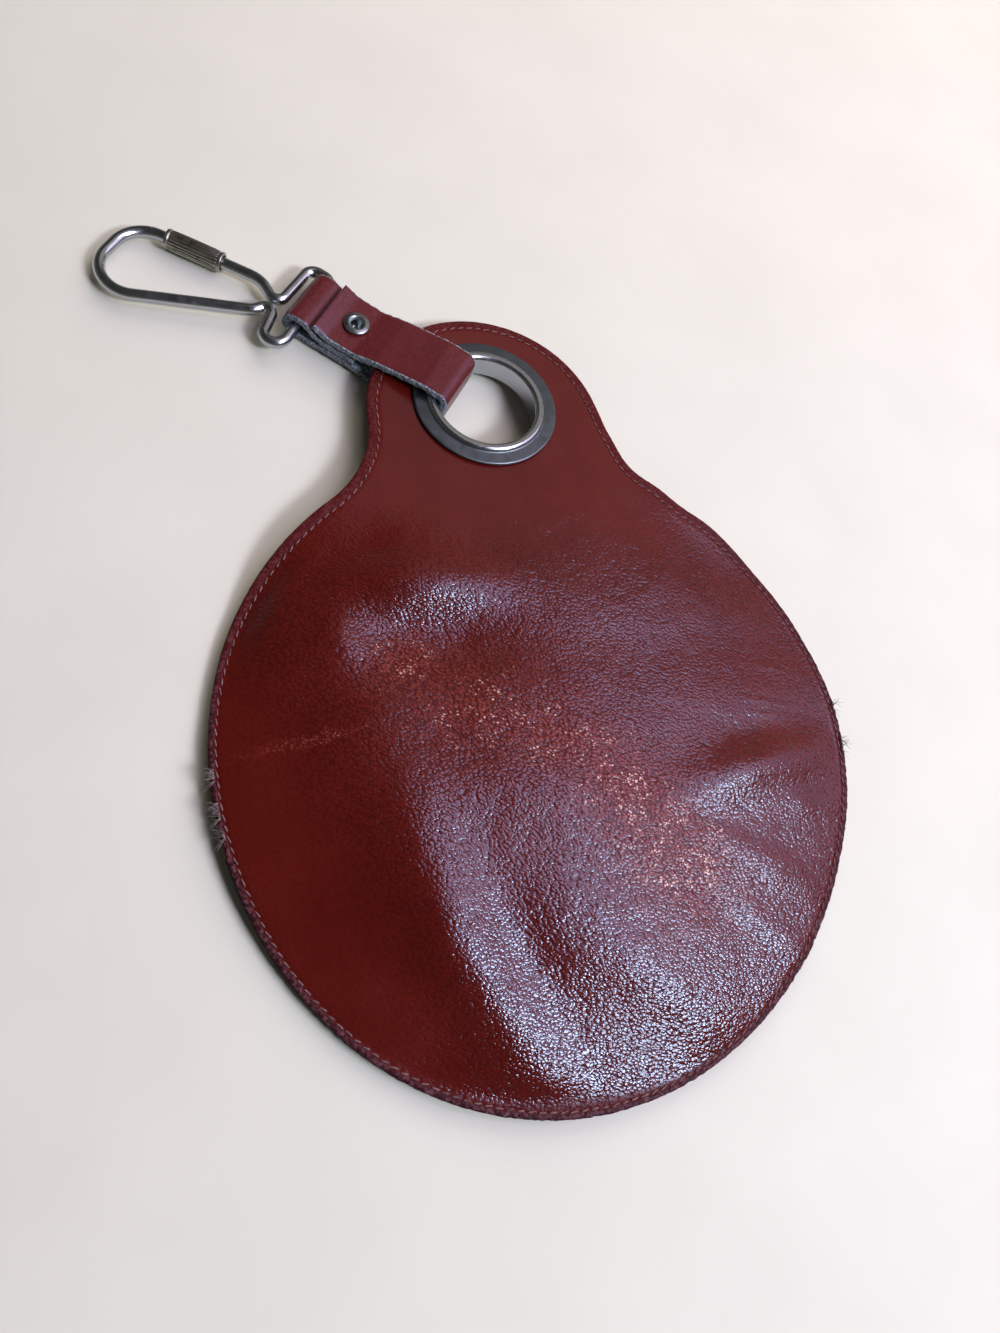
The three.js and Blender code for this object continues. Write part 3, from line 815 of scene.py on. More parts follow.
def pebbled_leather(name, dark, light, rough, grain_mm, grain_depth, even_shine=None):
    """Finished leather: crisp small pebbles that break the light into glints, over a dark uneven dye, with
    painted shade darkening the creases between pebbles.

    Pebble tops turn pale where the piece is rubbed, and the rim outside the seam is rough and dark.
    """
    finish, tree, shader, place = new_finish(name)
    grain, wear, rim, dirt = [
        add_node(tree, "ShaderNodeAttribute", attribute_name=mask).outputs["Fac"]
        for mask in ("grain", "wear", "rim", "dirt")
    ]
    drift, cloud, clumps, scuffs = [
        add_node(tree, "ShaderNodeTexNoise", {
            "Vector": place, "Scale": 1 / (size * MM), "Detail": detail,
        }).outputs
        for size, detail in (DRIFT, CLOUDS, CLUMPS, SCUFFS)
    ]
    lengthened = add_node(tree, "ShaderNodeMapping", {
        "Vector": place, "Rotation": (0, 0, GRAIN_TURN), "Scale": (GRAIN_STRETCH, 1, 1),
    }, vector_type="TEXTURE").outputs[0]
    shift = add_node(tree, "ShaderNodeVectorMath", {
        0: drift["Color"], 1: [DRIFT_BY * MM] * 3,
    }, operation="MULTIPLY").outputs[0]
    bent = add_node(tree, "ShaderNodeVectorMath", {0: lengthened, 1: shift}, operation="ADD").outputs[0]
    cells, spots = [
        add_node(tree, "ShaderNodeTexVoronoi", {
            "Vector": bent, "Scale": 1 / (size * MM), "Randomness": 1.0,
        }, feature="F1").outputs
        for size in (grain_mm, FLECK_MM)
    ]
    wrinkles = add_node(tree, "ShaderNodeTexNoise", {
        "Vector": bent, "Scale": 1 / (WRINKLE_SHARE * grain_mm * MM), "Detail": 2.0, "Roughness": 0.6,
    }).outputs["Fac"]

    # Height of the pebbles
    dome = add_node(tree, "ShaderNodeMath", {
        0: cells["Distance"], 1: cells["Distance"],
    }, operation="MULTIPLY").outputs[0]
    pebble = add_node(tree, "ShaderNodeMath", {
        0: wrinkles, 1: WRINKLE_HEIGHT, 2: PEBBLE_HEIGHT,
    }, operation="MULTIPLY_ADD").outputs[0]
    top = add_node(tree, "ShaderNodeMath", {0: pebble, 1: dome}, operation="SUBTRACT").outputs[0]
    relief = add_node(tree, "ShaderNodeMath", {0: top, 1: grain}, operation="MULTIPLY").outputs[0]
    bump = add_node(tree, "ShaderNodeBump", {
        "Strength": 1.0, "Distance": grain_depth * MM, "Height": relief,
    })

    # Shares of painted shade in the creases, rubbed tops, bare flecks and dirt
    crease, tops, gather, scuff, on_top = [
        add_node(tree, "ShaderNodeMapRange", {
            "Value": value, "From Min": low, "From Max": high, "To Min": to_low, "To Max": to_high,
        }).outputs[0]
        for value, (low, high, to_low, to_high) in (
            (cells["Distance"], CREASE_SHADE_SHARE), (cells["Distance"], TOP_SHARE), (clumps["Fac"], CLUMP_SHARE),
            (scuffs["Fac"], SCUFF_SHARE), (spots["Distance"], FLECK_SHARE),
        )
    ]
    rubbing = add_node(tree, "ShaderNodeMath", {0: wear, 1: gather}, operation="MULTIPLY").outputs[0]
    limit = add_node(tree, "ShaderNodeMath", {
        0: rubbing, 1: FLECK_LIMIT_WORN, 2: FLECK_LIMIT,
    }, operation="MULTIPLY_ADD").outputs[0]
    chance = add_node(tree, "ShaderNodeSeparateColor", {0: spots["Color"]}).outputs[0]
    over = add_node(tree, "ShaderNodeMath", {0: chance, 1: limit}, operation="SUBTRACT").outputs[0]
    chosen = add_node(tree, "ShaderNodeMapRange", {
        "Value": over, "From Min": 0.0, "From Max": FLECK_FADE,
    }).outputs[0]
    shabby = add_node(tree, "ShaderNodeMath", {
        0: wrinkles, 1: DIRT_UNEVEN, 2: DIRT_LEAST,
    }, operation="MULTIPLY_ADD").outputs[0]
    # Painted shade darkens the creases between pebbles, as strongly as the grain is full
    painted_crease_shade, rubbed, fleck, dirty = [
        add_node(tree, "ShaderNodeMath", {0: first, 1: second}, operation="MULTIPLY").outputs[0]
        for first, second in ((crease, grain), (wear, tops), (chosen, on_top), (dirt, shabby))
    ]

    # Colours of the dye, the bare flecks and the scuffed rim, then the layers over the dye: painted crease
    # shade, rubbed tops, flecks and the dirty rim
    colour, bare, scuffed = [
        add_node(tree, "ShaderNodeMix", {
            FACTOR: share, FIRST: linear(first), SECOND: linear(second),
        }, data_type="RGBA").outputs[MIXED]
        for share, first, second in (
            (cloud["Fac"], dark, light), (wear, "#a8665a", "#eec6b8"), (scuff, "#281014", "#694246"),
        )
    ]
    # The first layer, #2a0705 in the creases, is painted shade
    for share, layer in (
        (painted_crease_shade, linear("#2a0705")), (rubbed, linear("#94483e")), (fleck, bare), (dirty, scuffed),
    ):
        colour = add_node(tree, "ShaderNodeMix", {
            FACTOR: share, FIRST: colour, SECOND: layer,
        }, data_type="RGBA").outputs[MIXED]

    # Shine and roughness, both duller where worn and at the rim
    if even_shine is None:
        dull = add_node(tree, "ShaderNodeMath", {
            0: wear, 1: SHINE_WORN, 2: SHINE,
        }, operation="MULTIPLY_ADD").outputs[0]
        shine = add_node(tree, "ShaderNodeMath", {
            0: rim, 1: SHINE_RIM, 2: dull,
        }, operation="MULTIPLY_ADD", use_clamp=True)
        tree.links.new(shine.outputs[0], shader.inputs["Specular IOR Level"])
    else:
        shader.inputs["Specular IOR Level"].default_value = even_shine
    gloss = add_node(tree, "ShaderNodeMapRange", {
        "Value": cloud["Fac"], "From Min": 0.3, "From Max": 0.7,
        "To Min": rough + ROUGH_SPREAD[0], "To Max": rough + ROUGH_SPREAD[1],
    }).outputs[0]
    for mask, rougher in ((wear, ROUGH_WORN), (rim, ROUGH_RIM)):
        gloss = add_node(tree, "ShaderNodeMath", {
            0: mask, 1: rougher, 2: gloss,
        }, operation="MULTIPLY_ADD").outputs[0]
    tree.links.new(colour, shader.inputs["Base Color"])
    tree.links.new(gloss, shader.inputs["Roughness"])
    tree.links.new(bump.outputs[0], shader.inputs["Normal"])
    shader.inputs["Specular Tint"].default_value = linear("#d0eaff")
    return finish


def rough_fibre(name, dark, light, size_mm, depth_mm, rough):
    """Raw fibrous cut or cloth: matt and mottled, so that it reads dull beside the finished faces."""
    finish, tree, shader, place = new_finish(name)
    fuzz = add_node(tree, "ShaderNodeTexNoise", {
        "Vector": place, "Scale": 1 / (size_mm * MM), "Detail": 5.0,
    }).outputs["Fac"]
    spread = add_node(tree, "ShaderNodeMapRange", {"Value": fuzz, "From Min": 0.32, "From Max": 0.68})
    colour = add_node(tree, "ShaderNodeMix", {
        FACTOR: spread.outputs[0], FIRST: linear(dark), SECOND: linear(light),
    }, data_type="RGBA")
    bump = add_node(tree, "ShaderNodeBump", {"Strength": 1.0, "Distance": depth_mm * MM, "Height": fuzz})
    tree.links.new(colour.outputs[MIXED], shader.inputs["Base Color"])
    tree.links.new(bump.outputs[0], shader.inputs["Normal"])
    shader.inputs["Roughness"].default_value = rough
    return finish


def plated_metal(name, colour, rough, mark_depth):
    """Plated metal: mirror-like with faint wear that breaks up the reflections."""
    finish, tree, shader, place = new_finish(name)
    wear = add_node(tree, "ShaderNodeTexNoise", {
        "Vector": place, "Scale": 1 / (METAL_WEAR_MM * MM), "Detail": 6.0,
    }).outputs["Fac"]
    gloss = add_node(tree, "ShaderNodeMapRange", {
        "Value": wear, "From Min": 0.3, "From Max": 0.7,
        "To Min": rough * METAL_ROUGH_SPREAD[0], "To Max": rough * METAL_ROUGH_SPREAD[1],
    })
    bump = add_node(tree, "ShaderNodeBump", {"Strength": 1.0, "Distance": mark_depth * MM, "Height": wear})
    tree.links.new(gloss.outputs[0], shader.inputs["Roughness"])
    tree.links.new(bump.outputs[0], shader.inputs["Normal"])
    shader.inputs["Base Color"].default_value = linear(colour)
    shader.inputs["Metallic"].default_value = 1.0
    return finish


leather = pebbled_leather(
    "oxblood_pebbled_leather", "#420a06", "#56140c", rough=0.175, grain_mm=0.5, grain_depth=0.1,
)
strap_leather = pebbled_leather(
    "oxblood_smooth_leather", "#491012", "#591a1c", rough=0.34, grain_mm=0.5, grain_depth=0.014,
    even_shine=0.47,
)

# Fibrous finishes: dark and light colour, size and depth of the mottling in mm, roughness
cut_edge = rough_fibre("raw_leather_edge", "#241012", "#4a2e30", 0.5, 0.08, 0.9)
suede = rough_fibre("blue_grey_suede", "#333a43", "#97a0a8", 0.45, 0.12, 0.95)
# One thread in two colours: darker on the body as painted shade, paler on the neck as painted light
thread = rough_fibre("brown_thread", "#3e2426", "#785654", 0.5, 0.04, 0.8)
neck_thread_painted_light = rough_fibre("pale_brown_thread", "#6a4440", "#b48c82", 0.5, 0.04, 0.8)
tape_weave = rough_fibre("dark_woven_tape", "#1d1213", "#3a2426", 0.3, 0.06, 0.95)
frayed_fibre = rough_fibre("frayed_tape_fibre", "#2a2020", "#8e807a", 0.6, 0.01, 0.9)
floor_finish = rough_fibre("pale_plain_floor", "#bebcae", "#c2c0b2", 30, 0.0, 0.8)

# Metal finishes: colour, roughness and depth of the marks in mm
dull_nickel = plated_metal("dull_dark_nickel", "#676d70", 0.42, 0.002)
bright_nickel = plated_metal("bright_nickel", "#b2b6ba", 0.21, 0.002)
rivet_nickel = plated_metal("dark_rivet_nickel", "#9ca3a3", 0.28, 0.002)
sleeve_nickel = plated_metal("worn_ribbed_nickel", "#a39f95", 0.32, 0.006)


# Leather panels

def shoulder(radius):
    """Middle of a shoulder's round and the turns at which it meets the disc and the neck."""
    far = DISC_RADIUS + radius
    near = NECK_RADIUS + radius
    y = (far ** 2 - near ** 2 + NECK_CENTRE_Y ** 2) / (2 * NECK_CENTRE_Y)
    x = math.sqrt(far ** 2 - y ** 2)
    return x, y, math.atan2(y, x), math.atan2(y - NECK_CENTRE_Y, x)


def hand_cut(points):
    """Moves points of the true arcs to where the hand-cut outline has them."""
    turn = np.arctan2(points[:, 0], -points[:, 1])
    fade = 1 - smoothstep(np.abs(turn), *THREE_SIDED_FADE)
    swell = 1 + THREE_SIDED / DISC_RADIUS * np.cos(3 * (turn - THREE_SIDED_TURN)) * fade
    cut_points = points * swell[:, None]
    cut_points[:, 0] += NECK_SHIFT * smoothstep(cut_points[:, 1], *NECK_SHIFT_Y)
    for x, y, reach, push_x, push_y in EDGE_PUSHES.values():
        near = np.exp(-((cut_points[:, 0] - x) ** 2 + (cut_points[:, 1] - y) ** 2) / reach ** 2)
        cut_points = cut_points + near[:, None] * (push_x, push_y)
    return cut_points


def outline(count):
    """Even points on the outline from its lowest point to the right, their outward normals and its length."""
    right_x, right_y, right_disc, right_neck = shoulder(RIGHT_SHOULDER)
    left_x, left_y, left_disc, left_neck = shoulder(LEFT_SHOULDER)
    arcs = (
        (0, 0, DISC_RADIUS, -math.pi / 2, right_disc),
        (right_x, right_y, RIGHT_SHOULDER, right_disc + math.pi, right_neck + math.pi),
        (0, NECK_CENTRE_Y, NECK_RADIUS, right_neck, math.pi - left_neck),
        (-left_x, left_y, LEFT_SHOULDER, -left_neck, -left_disc),
        (0, 0, DISC_RADIUS, math.pi - left_disc, 1.5 * math.pi),
    )
    line = []
    for centre_x, centre_y, radius, start, stop in arcs:
        turns = np.linspace(start, stop, int(radius * abs(stop - start) / ARC_STEP))[:-1]
        line.append(np.column_stack([centre_x + radius * np.cos(turns), centre_y + radius * np.sin(turns)]))
    line = hand_cut(np.concatenate(line))
    line = np.vstack([line, line[:1]])
    lengths = lengths_along(line)
    wanted = np.arange(count) * lengths[-1] / count
    points = np.column_stack([np.interp(wanted, lengths, line[:, k]) for k in range(2)])
    ahead = unit(np.roll(points, -1, axis=0) - np.roll(points, 1, axis=0))
    return points, np.column_stack([ahead[:, 1], -ahead[:, 0]]), lengths[-1]


RIM_LENGTH = outline(FEW_POINTS)[2]
STITCHES = round(RIM_LENGTH / STITCH_PITCH)
COLUMNS = STITCHES * COLUMNS_PER_STITCH
RIM, RIM_NORMAL, _ = outline(COLUMNS)
RIM_NOISE = noise_at(np.column_stack([RIM, 0 * RIM[:, 0]]), RIM_NOISE_SIZE)
RIM_WORN = RIM_ROUGH * (1 - RIM_ROUGH_CLEANED * smoothstep(RIM[:, 1], *CLEAN_RIM_Y))
RIM -= (RIM_WORN * (1 + RIM_NOISE))[:, None] * RIM_NORMAL

RIM_TREE = kdtree.KDTree(COLUMNS)
for index, (x, y) in enumerate(RIM):
    RIM_TREE.insert((x, y, 0), index)
RIM_TREE.balance()


def panel_rings(inner_count):
    """Flat rings from the middle out to the rim, and how far each lies from the rim."""
    rings = []
    inward = []
    innermost = RIM - RIM_INSETS[-1] * RIM_NORMAL
    for share in np.linspace(0, 1, inner_count + 1)[1:-1]:
        rings.append(RING_MIDDLE + (innermost - RING_MIDDLE) * share)
        inward.append(RIM_INSETS[-1] + (1 - share) * DISC_RADIUS)
    for inset in reversed(RIM_INSETS):
        rings.append(RIM - inset * RIM_NORMAL)
        inward.append(inset)
    return np.array(rings), np.array(inward)


def stitch_inset(y):
    return BODY_STITCH_INSET + (NECK_STITCH_INSET - BODY_STITCH_INSET) * smoothstep(y, *NECK_STITCH_Y)


def edge_drop(inward, y):
    """How far the outer face falls near the rim: its round at the cut, and the groove of the thread."""
    corner = RIM_ROUND * np.clip(1 - inward / RIM_ROUND_REACH, 0, 1) ** 2
    corner = corner + EDGE_FALL * np.clip(1 - inward / EDGE_FALL_REACH, 0, 1) ** 2
    groove = GROOVE_DEPTH * np.exp(-((inward - stitch_inset(y)) / GROOVE_WIDTH) ** 2)
    return corner, groove


def leather_panel(name, outer, inner, outer_is_up):
    """Closed leather sheet with a fine outer face, a cut edge and a plain inner face."""
    fine, inward = panel_rings(INNER_RINGS)
    plain, _ = panel_rings(HIDDEN_RINGS)
    inward = inward[:, None]
    pull = 0.5 - 0.5 * np.cos(2 * np.pi * np.arange(COLUMNS) / COLUMNS_PER_STITCH)
    corner, groove = edge_drop(inward, fine[..., 1])
    uneven = RIM_WORN * RIM_NOISE * np.clip(1 - inward / RIM_NOISE_REACH, 0, 1)
    fall = corner + uneven + groove * (GROOVE_BETWEEN + (1 - GROOVE_BETWEEN) * pull)
    sign = 1 if outer_is_up else -1
    fine = np.dstack([fine, outer(fine[..., 0], fine[..., 1]) - sign * fall])
    plain = np.dstack([plain, inner(plain[..., 0], plain[..., 1])])[::-1]
    rings = np.concatenate([fine, plain[CUT_EDGE_RINGS:]])
    edge_strip = len(fine) - 1
    if not outer_is_up:
        rings = rings[::-1]
        edge_strip = len(rings) - len(fine) - 1
    ring_finish = (np.arange(len(rings)) == edge_strip).astype(int)
    return skin(name, rings, [leather, cut_edge], ring_finish=ring_finish)


def rim_masks(points):
    """Dullness and dark dirt of the rim, both out from the seam's groove, with less dirt toward the neck."""
    from_rim = np.array([RIM_TREE.find((x, y, 0))[2] for x, y, _ in points])
    past_seam = from_rim - stitch_inset(points[:, 1])
    reach = RIM_GLOSS_FADE + bumps(DULL_EDGE, points[:, 0], points[:, 1])
    near_cut = 1 - smoothstep(past_seam, -DIRT_FADE, 0.0)
    cleaned = DIRT_CLEANED * smoothstep(points[:, 1], *CLEAN_RIM_Y)
    return {"rim": 1 - smoothstep(past_seam, 0.0, reach), "dirt": near_cut * (1 - cleaned)}


NECK_PLACE = Matrix.Translation((GROMMET_X, GROMMET_Y, NECK_LIFT)) @ Matrix.Rotation(-NECK_SLOPE, 4, "X")
STRAP_PLACE = Matrix.Translation((GROMMET_X, GROMMET_Y, 0)) @ Matrix.Rotation(STRAP_TURN, 4, "Z")
RIVET_PLACE = STRAP_PLACE @ Matrix.Translation((RIVET_X, 0, 0))

front = leather_panel("front_leather", front_face, front_inside, True)
cut(front, hole_cutter(LEATHER_HOLE, GROMMET_SIDES, NECK_PLACE, LEATHER_HOLE_Z))
at = mesh_points(front)
body_share = 1 - smoothstep(at[:, 1], *NECK_GRAIN_Y)
right_share = smoothstep(at[:, 0] + LEFT_GRAIN_LEAN * at[:, 1], *LEFT_GRAIN_FADE)
neck_factor = NECK_GRAIN + (1 - NECK_GRAIN) * body_share
left_factor = LEFT_GRAIN + (1 - LEFT_GRAIN) * right_share
set_masks(front, {
    "wear": np.clip(bumps(WORN_SPOTS, at[:, 0], at[:, 1]), 0, 1),
    "grain": neck_factor * left_factor,
    **rim_masks(at),
})

back = {}
for part, low_y, high_y in (
    ("upper", ZIP_Y + SLOT_WIDTH / 2, REACH),
    ("lower", -REACH, ZIP_Y - SLOT_WIDTH / 2),
):
    panel = leather_panel(f"back_leather_{part}", rest_height, back_inside, False)
    keep_box = box_piece("keep_box", (-REACH, low_y, -REACH), (REACH, high_y, REACH), [])
    cut(panel, keep_box, "INTERSECT")
    if part == "upper":
        cut(panel, hole_cutter(LEATHER_HOLE, GROMMET_SIDES, NECK_PLACE, LEATHER_HOLE_Z))
    panel.data.set_sharp_from_angle(angle=CUT_EDGE_ANGLE)
    at = mesh_points(panel)
    set_masks(panel, {
        "wear": np.full(len(at), BACK_WEAR),
        "grain": np.full(len(at), BACK_GRAIN),
        **rim_masks(at),
    })
    back[part] = panel

# Seam threads; one thread drawn darker on the body as painted shade and paler on the neck as painted light
stitch = bead("stitch", STITCH_SIZE)
seam = RIM - stitch_inset(RIM[:, 1])[:, None] * RIM_NORMAL
seam_fall = sum(edge_drop(stitch_inset(RIM[:, 1]), RIM[:, 1]))
front_line = np.column_stack([seam, front_face(seam[:, 0], seam[:, 1]) - seam_fall + FRONT_THREAD_RISE])
front_seam = repeat_along("front_stitches", front_line, True, stitch, STITCHES, thread, **FRONT_STITCH_LOOK)
# Stitches on the neck take the paler copy, which is painted light
front_seam.data.materials.append(neck_thread_painted_light)
for face in front_seam.data.polygons:
    if face.center.y > PAINTED_LIGHT_THREAD_Y * MM:
        face.material_index = 1
back_line = np.column_stack([seam, rest_height(seam[:, 0], seam[:, 1]) + seam_fall + BACK_THREAD_RISE])
back_seam = repeat_along("back_stitches", back_line, True, stitch, STITCHES, thread, **BACK_STITCH_LOOK)

# Grommet
grommet = lathe(
    "grommet_ring", GROMMET_PROFILE, GROMMET_SIDES, [dull_nickel, bright_nickel], NECK_PLACE, True,
    bright_inside=LIP_RADIUS,
)

# Strap
path = rounded_path(STRAP_LINE, STRAP_STEP)
tangent = unit(np.gradient(path, axis=0))
outside = np.stack([tangent[:, 1], -tangent[:, 0]], axis=1)
half_wide = STRAP_WIDTH / 2
half_thick = STRAP_LEATHER / 2
flat_end = half_wide - STRAP_ROUND
edge_across = np.array([half_wide - STRAP_BEVEL, half_wide, half_wide, half_wide, half_wide - STRAP_BEVEL])
edge_rise = np.array([half_thick - STRAP_BEVEL, half_thick - STRAP_ROUND])
edge_through = np.concatenate([edge_rise, [0], -edge_rise[::-1]])
across = np.concatenate([
    np.linspace(-flat_end, flat_end, STRAP_TOP_POINTS), edge_across,
    np.linspace(flat_end, -flat_end, STRAP_UNDER_POINTS), -edge_across,
])
through = np.concatenate([
    np.full(STRAP_TOP_POINTS, half_thick), edge_through,
    np.full(STRAP_UNDER_POINTS, -half_thick), -edge_through,
])
under_or_cut = (np.arange(len(across)) >= STRAP_TOP_POINTS - 1).astype(int)
at_edge = np.abs(across) > half_wide - STRAP_ROUND / 2
rings = []
for i, (point, out) in enumerate(zip(path, outside)):
    spots = np.column_stack([np.full(len(across), i * STRAP_STEP), across, STRAP_TORN_THROUGH * through])
    torn = STRAP_TORN * noise_at(spots, STRAP_TORN_SIZE) * np.sign(across) * at_edge
    flat = point + out * through[:, None]
    rings.append(np.column_stack([flat[:, 0], across + torn, flat[:, 1]]))
strap = skin(
    "strap_leather_loop", moved(rings, STRAP_PLACE), [strap_leather, suede], column_finish=under_or_cut,
    cap_finish=1,
)
cut(strap, hole_cutter(RIVET_HOLE, RIVET_SIDES, RIVET_PLACE, RIVET_HOLE_Z))
at = mesh_points(strap)
set_masks(strap, {"wear": np.full(len(at), STRAP_WEAR), "grain": np.full(len(at), STRAP_GRAIN)})

# Suede fibres along both cut edges of the strap, and a few at its raw end
strap_fibre = fibre("strap_fibre", *STRAP_FIBRE)
edge_rows = []
for side in (-1, 1):
    for row in EDGE_FIBRE_ROWS:
        edge = path + outside * row
        edge_y = side * (half_wide - EDGE_FIBRE_INSET)
        line = np.column_stack([edge[:, 0], np.full(len(edge), edge_y), edge[:, 1]])
        edge_rows.append(repeat_along(
            "strap_edge_fibres", moved(line, STRAP_PLACE), False, strap_fibre, EDGE_FIBRES, suede,
            turn=side * math.pi / 2, **EDGE_FIBRE_LOOK,
        ))
end_reach = half_wide - END_FIBRE_INSET
end_x, end_z = path[0] + END_FIBRE_SHIFT
line = [(end_x, y, end_z) for y in np.linspace(-end_reach, end_reach, END_FIBRE_POINTS)]
end_fibres = repeat_along(
    "strap_end_fibres", moved(line, STRAP_PLACE), False, strap_fibre, END_FIBRES, frayed_fibre,
    **END_FIBRE_LOOK,
)

# Rivet
rivet = lathe("tubular_rivet", RIVET_PROFILE, RIVET_SIDES, [rivet_nickel], RIVET_PLACE, False)


# Clip

def clip_height(x):
    return BAR_Z - CLIP_FALL * (x - BAR_X)


def gate_point(distance):
    """Point on the clip's closing side, at a distance from its far end."""
    return np.array(GATE_END) - distance * np.array([math.cos(GATE_TURN), math.sin(GATE_TURN)])


flat = rounded_path([(*gate_point(NEAR_TIP), 0), *CLIP_LINE, (*gate_point(FAR_TIP), 0)], WIRE_STEP)
line = np.column_stack([flat, clip_height(flat[:, 0])])
ahead = unit(np.gradient(line, axis=0))
sideways = unit(np.cross(np.array([0, 0, 1.0]), ahead))
upward = np.cross(ahead, sideways)
wire_round = circle(WIRE_RADIUS, WIRE_SIDES)[None, :, :, None]
rings = line[:, None] + wire_round[:, :, 0] * sideways[:, None] + wire_round[:, :, 1] * upward[:, None]
wire = skin("clip_wire_bent", moved(rings, STRAP_PLACE), [bright_nickel])

start = Vector((*gate_point(0), clip_height(gate_point(0)[0])))
stop = Vector((*gate_point(SLEEVE_LENGTH), clip_height(gate_point(SLEEVE_LENGTH)[0])))
sleeve_turn = (stop - start).to_track_quat("Z", "Y").to_matrix().to_4x4()
sleeve_place = STRAP_PLACE @ Matrix.Translation(start) @ sleeve_turn
sleeve = lathe("clip_sleeve_core", SLEEVE_PROFILE, SLEEVE_SIDES, [sleeve_nickel], sleeve_place, True)
rib = bead("rib", RIB_SIZE)
rib.data.transform(Matrix.Rotation(math.pi / 2, 4, "Y"))
rib_circle = circle(SLEEVE_CORE, RIB_CIRCLE_POINTS)
ribs = repeat_along("clip_sleeve_ribs", rib_circle, True, rib, SLEEVE_RIBS, sleeve_nickel)
ribs_place = sleeve_place @ Matrix.Translation((0, 0, SLEEVE_LENGTH / 2))
ribs_place.translation *= MM
ribs.data.transform(ribs_place)


# Zip

def zip_block(name, middle_x, long, wide, low, high, bevel):
    """Plain block of the zip, level with its tooth row in y."""
    near = (middle_x - long / 2, ZIP_Y - wide / 2, low)
    far = (middle_x + long / 2, ZIP_Y + wide / 2, high)
    return box_piece(name, near, far, [dull_nickel], bevel=bevel)


tape_y = np.linspace(ZIP_Y - TAPE_WIDTH / 2, ZIP_Y + TAPE_WIDTH / 2, TAPE_POINTS)
tape_end = np.sqrt((DISC_RADIUS - TAPE_INSET) ** 2 - tape_y ** 2)
tape_rings = []
for share in np.linspace(-1, 1, TAPE_RINGS):
    low = np.column_stack([tape_end * share, tape_y, np.full(len(tape_y), TAPE_BOTTOM)])
    high = np.column_stack([tape_end * share, tape_y, np.full(len(tape_y), TAPE_TOP)])[::-1]
    tape_rings.append(np.concatenate([low, high]))
tape = skin("zip_tape", tape_rings, [tape_weave])
tooth = box_piece("tooth", TOOTH_LOW, TOOTH_HIGH, [], bevel=TOOTH_ROUND)
tooth_row = [(side * TOOTH_ROW_LENGTH / 2, ZIP_Y, TOOTH_ROW_Z) for side in (-1, 1)]
tooth_count = round(TOOTH_ROW_LENGTH / TOOTH_PITCH)
teeth = repeat_along("zip_teeth", tooth_row, False, tooth, tooth_count, dull_nickel)
slider = zip_block("zip_slider", *SLIDER)
tab = zip_block("zip_tab", *TAB)

# Frayed tufts of the tape
fray = fibre("fray", *FRAY_FIBRE)
tufts = {}
for name, (side, spots) in FRAYS.items():
    tufts[name] = []
    for middle, width, count in spots:
        ys = np.linspace(middle - width / 2, middle + width / 2, FRAY_POINTS)
        nearest = [np.argmin(np.hypot(RIM[:, 0] - side * DISC_RADIUS, RIM[:, 1] - y)) for y in ys]
        line = np.column_stack([RIM[nearest] - FRAY_INSET * RIM_NORMAL[nearest], np.full(len(ys), FRAY_Z)])
        tufts[name].append(repeat_along(
            name, line, False, fray, count, frayed_fibre, turn=-side * math.pi / 2, **FRAY_LOOK,
        ))

# Rows and tufts of fibres become one piece each, and the shapes that were copied go
edge_fibres = joined("strap_edge_fibres", edge_rows)
left_fray, right_fray = [joined(name, objs) for name, objs in tufts.items()]
drop(stitch, rib, tooth, fray, strap_fibre)

# Bodies and CAD nodes
for obj, body, nodes, slot in (
    (front, "purse", ["front_panel"], "leather"),
    (back["upper"], "purse", ["back_panel_upper"], "leather"),
    (back["lower"], "purse", ["back_panel_lower"], "leather"),
    (front_seam, "purse", [], "leather"),
    (back_seam, "purse", [], "leather"),
    (grommet, "purse", ["grommet"], "dark_nickel"),
    (strap, "purse", ["strap"], "strap_leather"),
    (edge_fibres, "purse", [], "strap_leather"),
    (end_fibres, "purse", [], "strap_leather"),
    (rivet, "purse", ["rivet"], "nickel"),
    (tape, "purse", ["zip"], "zip_tape"),
    (teeth, "purse", ["zip"], "zip_tape"),
    (slider, "purse", ["zip"], "zip_tape"),
    (tab, "purse", ["zip"], "zip_tape"),
    (left_fray, "purse", [], "zip_tape"),
    (right_fray, "purse", [], "zip_tape"),
    (wire, "clip", ["clip_wire"], "nickel"),
    (sleeve, "sleeve", ["clip_sleeve"], "nickel"),
    (ribs, "sleeve", ["clip_sleeve"], "nickel"),
):
    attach(obj, body)
    if nodes:
        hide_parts(*nodes)

# Floor, its half side in metres
FLOOR_REACH = 1.5
work = bmesh.new()
bmesh.ops.create_grid(work, x_segments=1, y_segments=1, size=FLOOR_REACH)
floor_mesh = mesh_from("floor", work)
floor_mesh.materials.append(floor_finish)
floor = put_in_scene("floor", floor_mesh)

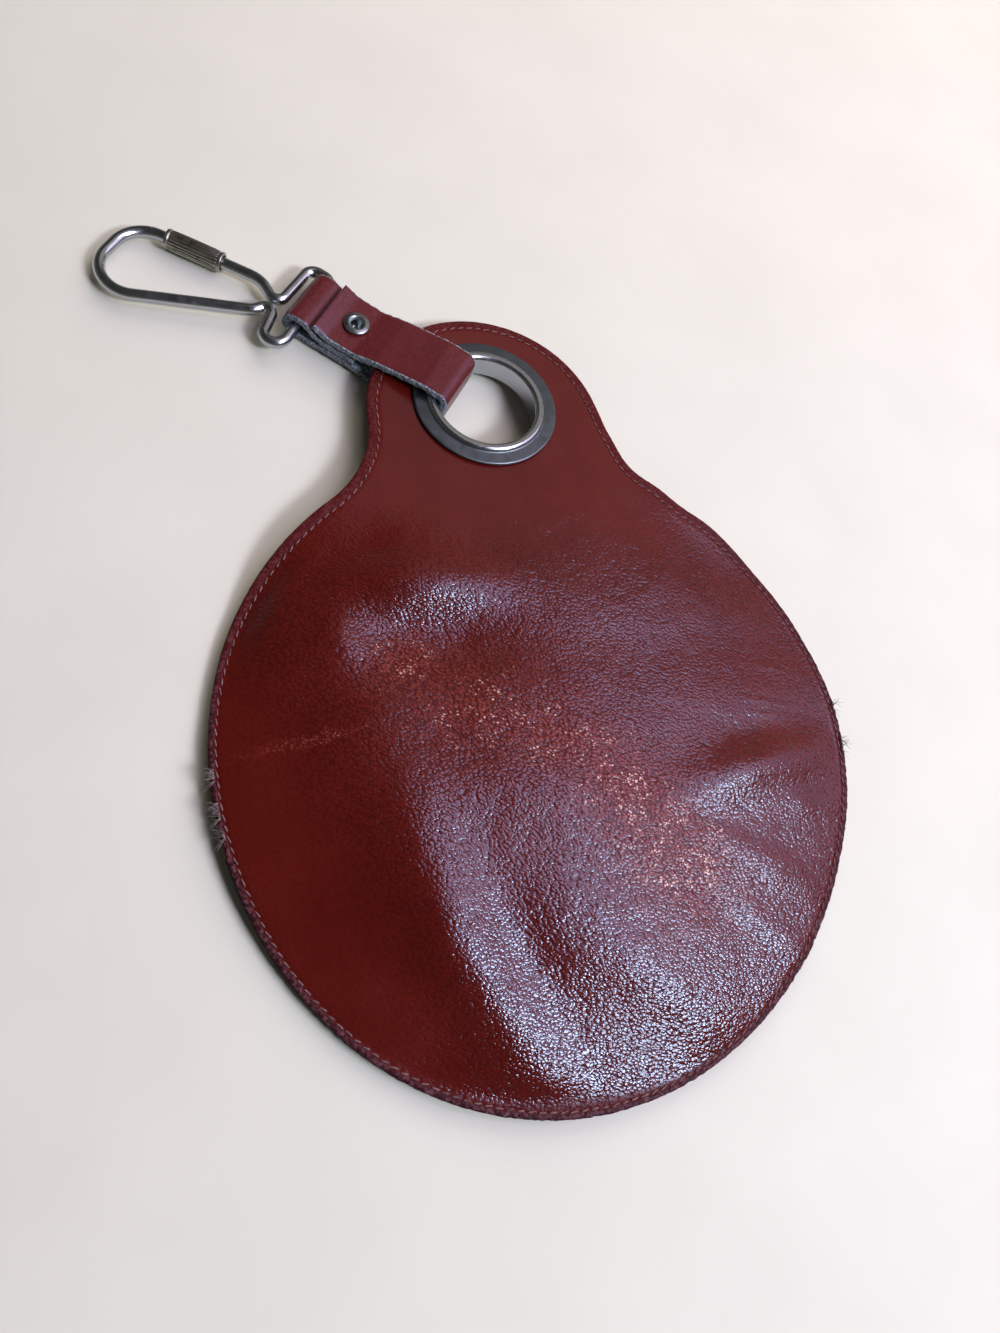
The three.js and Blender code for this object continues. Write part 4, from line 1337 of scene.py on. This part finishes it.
# Lamps: direction they shine from, width in metres, watts and colour
LAMP_DISTANCE = 0.75
LAMPS = {
    "overhead_lamp": ((0.42, -0.48, 0.77), 0.16, 4.2, "#e6ecff"),
    "second_ceiling_lamp": ((0.57, -0.41, 0.71), 0.16, 2.6, "#e6ecff"),
    "wide_ceiling_glow": ((0.44, 0.02, 0.90), 0.36, 2.3, "#e9d9ff"),
    "side_window_glow": ((0.83, 0.0, 0.55), 0.5, 1.0, "#e9d9ff"),
    "far_wall_glow": ((0.50, 0.40, 0.75), 0.9, 0.7, "#fff4ec"),
    "soft_back_fill": ((0.38, 0.76, 0.53), 0.7, 4.6, "#fff6f0"),
}
UNSEEN_IN_GLOSS = ("soft_back_fill",)
for name, (toward, width, watts, colour) in LAMPS.items():
    direction = Vector(toward).normalized()
    lamp_data = bpy.data.lights.new(name, "AREA")
    lamp_data.shape = "DISK"
    lamp_data.size = width
    lamp_data.energy = watts
    lamp_data.color = linear(colour)[:3]
    lamp = put_in_scene(name, lamp_data)
    lamp.location = direction * LAMP_DISTANCE
    lamp.rotation_euler = direction.to_track_quat("Z", "Y").to_euler()
    lamp.visible_glossy = name not in UNSEEN_IN_GLOSS

# Room light, brighter low down
world = bpy.data.worlds.new("soft_room")
bpy.context.scene.world = world
world.use_nodes = True
tree = world.node_tree
tree.nodes.clear()
sky = add_node(tree, "ShaderNodeTexCoord")
up = add_node(tree, "ShaderNodeSeparateXYZ", {0: sky.outputs["Generated"]})
room = add_node(tree, "ShaderNodeMapRange", {
    "Value": up.outputs["Z"], "From Min": 0.0, "From Max": 0.7, "To Min": 0.22, "To Max": 0.05,
}, interpolation_type="SMOOTHSTEP")
glow = add_node(tree, "ShaderNodeBackground", {"Color": linear("#f4efe8"), "Strength": room.outputs[0]})
add_node(tree, "ShaderNodeOutputWorld", {"Surface": glow.outputs[0]})

# Camera: place in mm, its right, up and back axes, sensor height and lens in mm, near limit in metres
CAMERA_AT = (-67.9, -36.7, 173.6)
CAMERA_AXES = ((0.9429, -0.1851, 0.277), (0.0879, 0.9402, 0.329), (-0.3214, -0.2859, 0.9028))
CAMERA_SENSOR = 36
CAMERA_LENS = 27
CAMERA_NEAR = 0.005
camera_data = bpy.data.cameras.new("photo_camera")
camera_data.sensor_fit = "VERTICAL"
camera_data.sensor_height = CAMERA_SENSOR
camera_data.lens = CAMERA_LENS
camera_data.clip_start = CAMERA_NEAR
camera = put_in_scene("photo_camera", camera_data)
facing = Matrix(CAMERA_AXES).transposed().to_4x4()
camera.matrix_world = Matrix.Translation(Vector(CAMERA_AT) * MM) @ facing
bpy.context.scene.camera = camera

bpy.context.scene.view_settings.view_transform = "Standard"
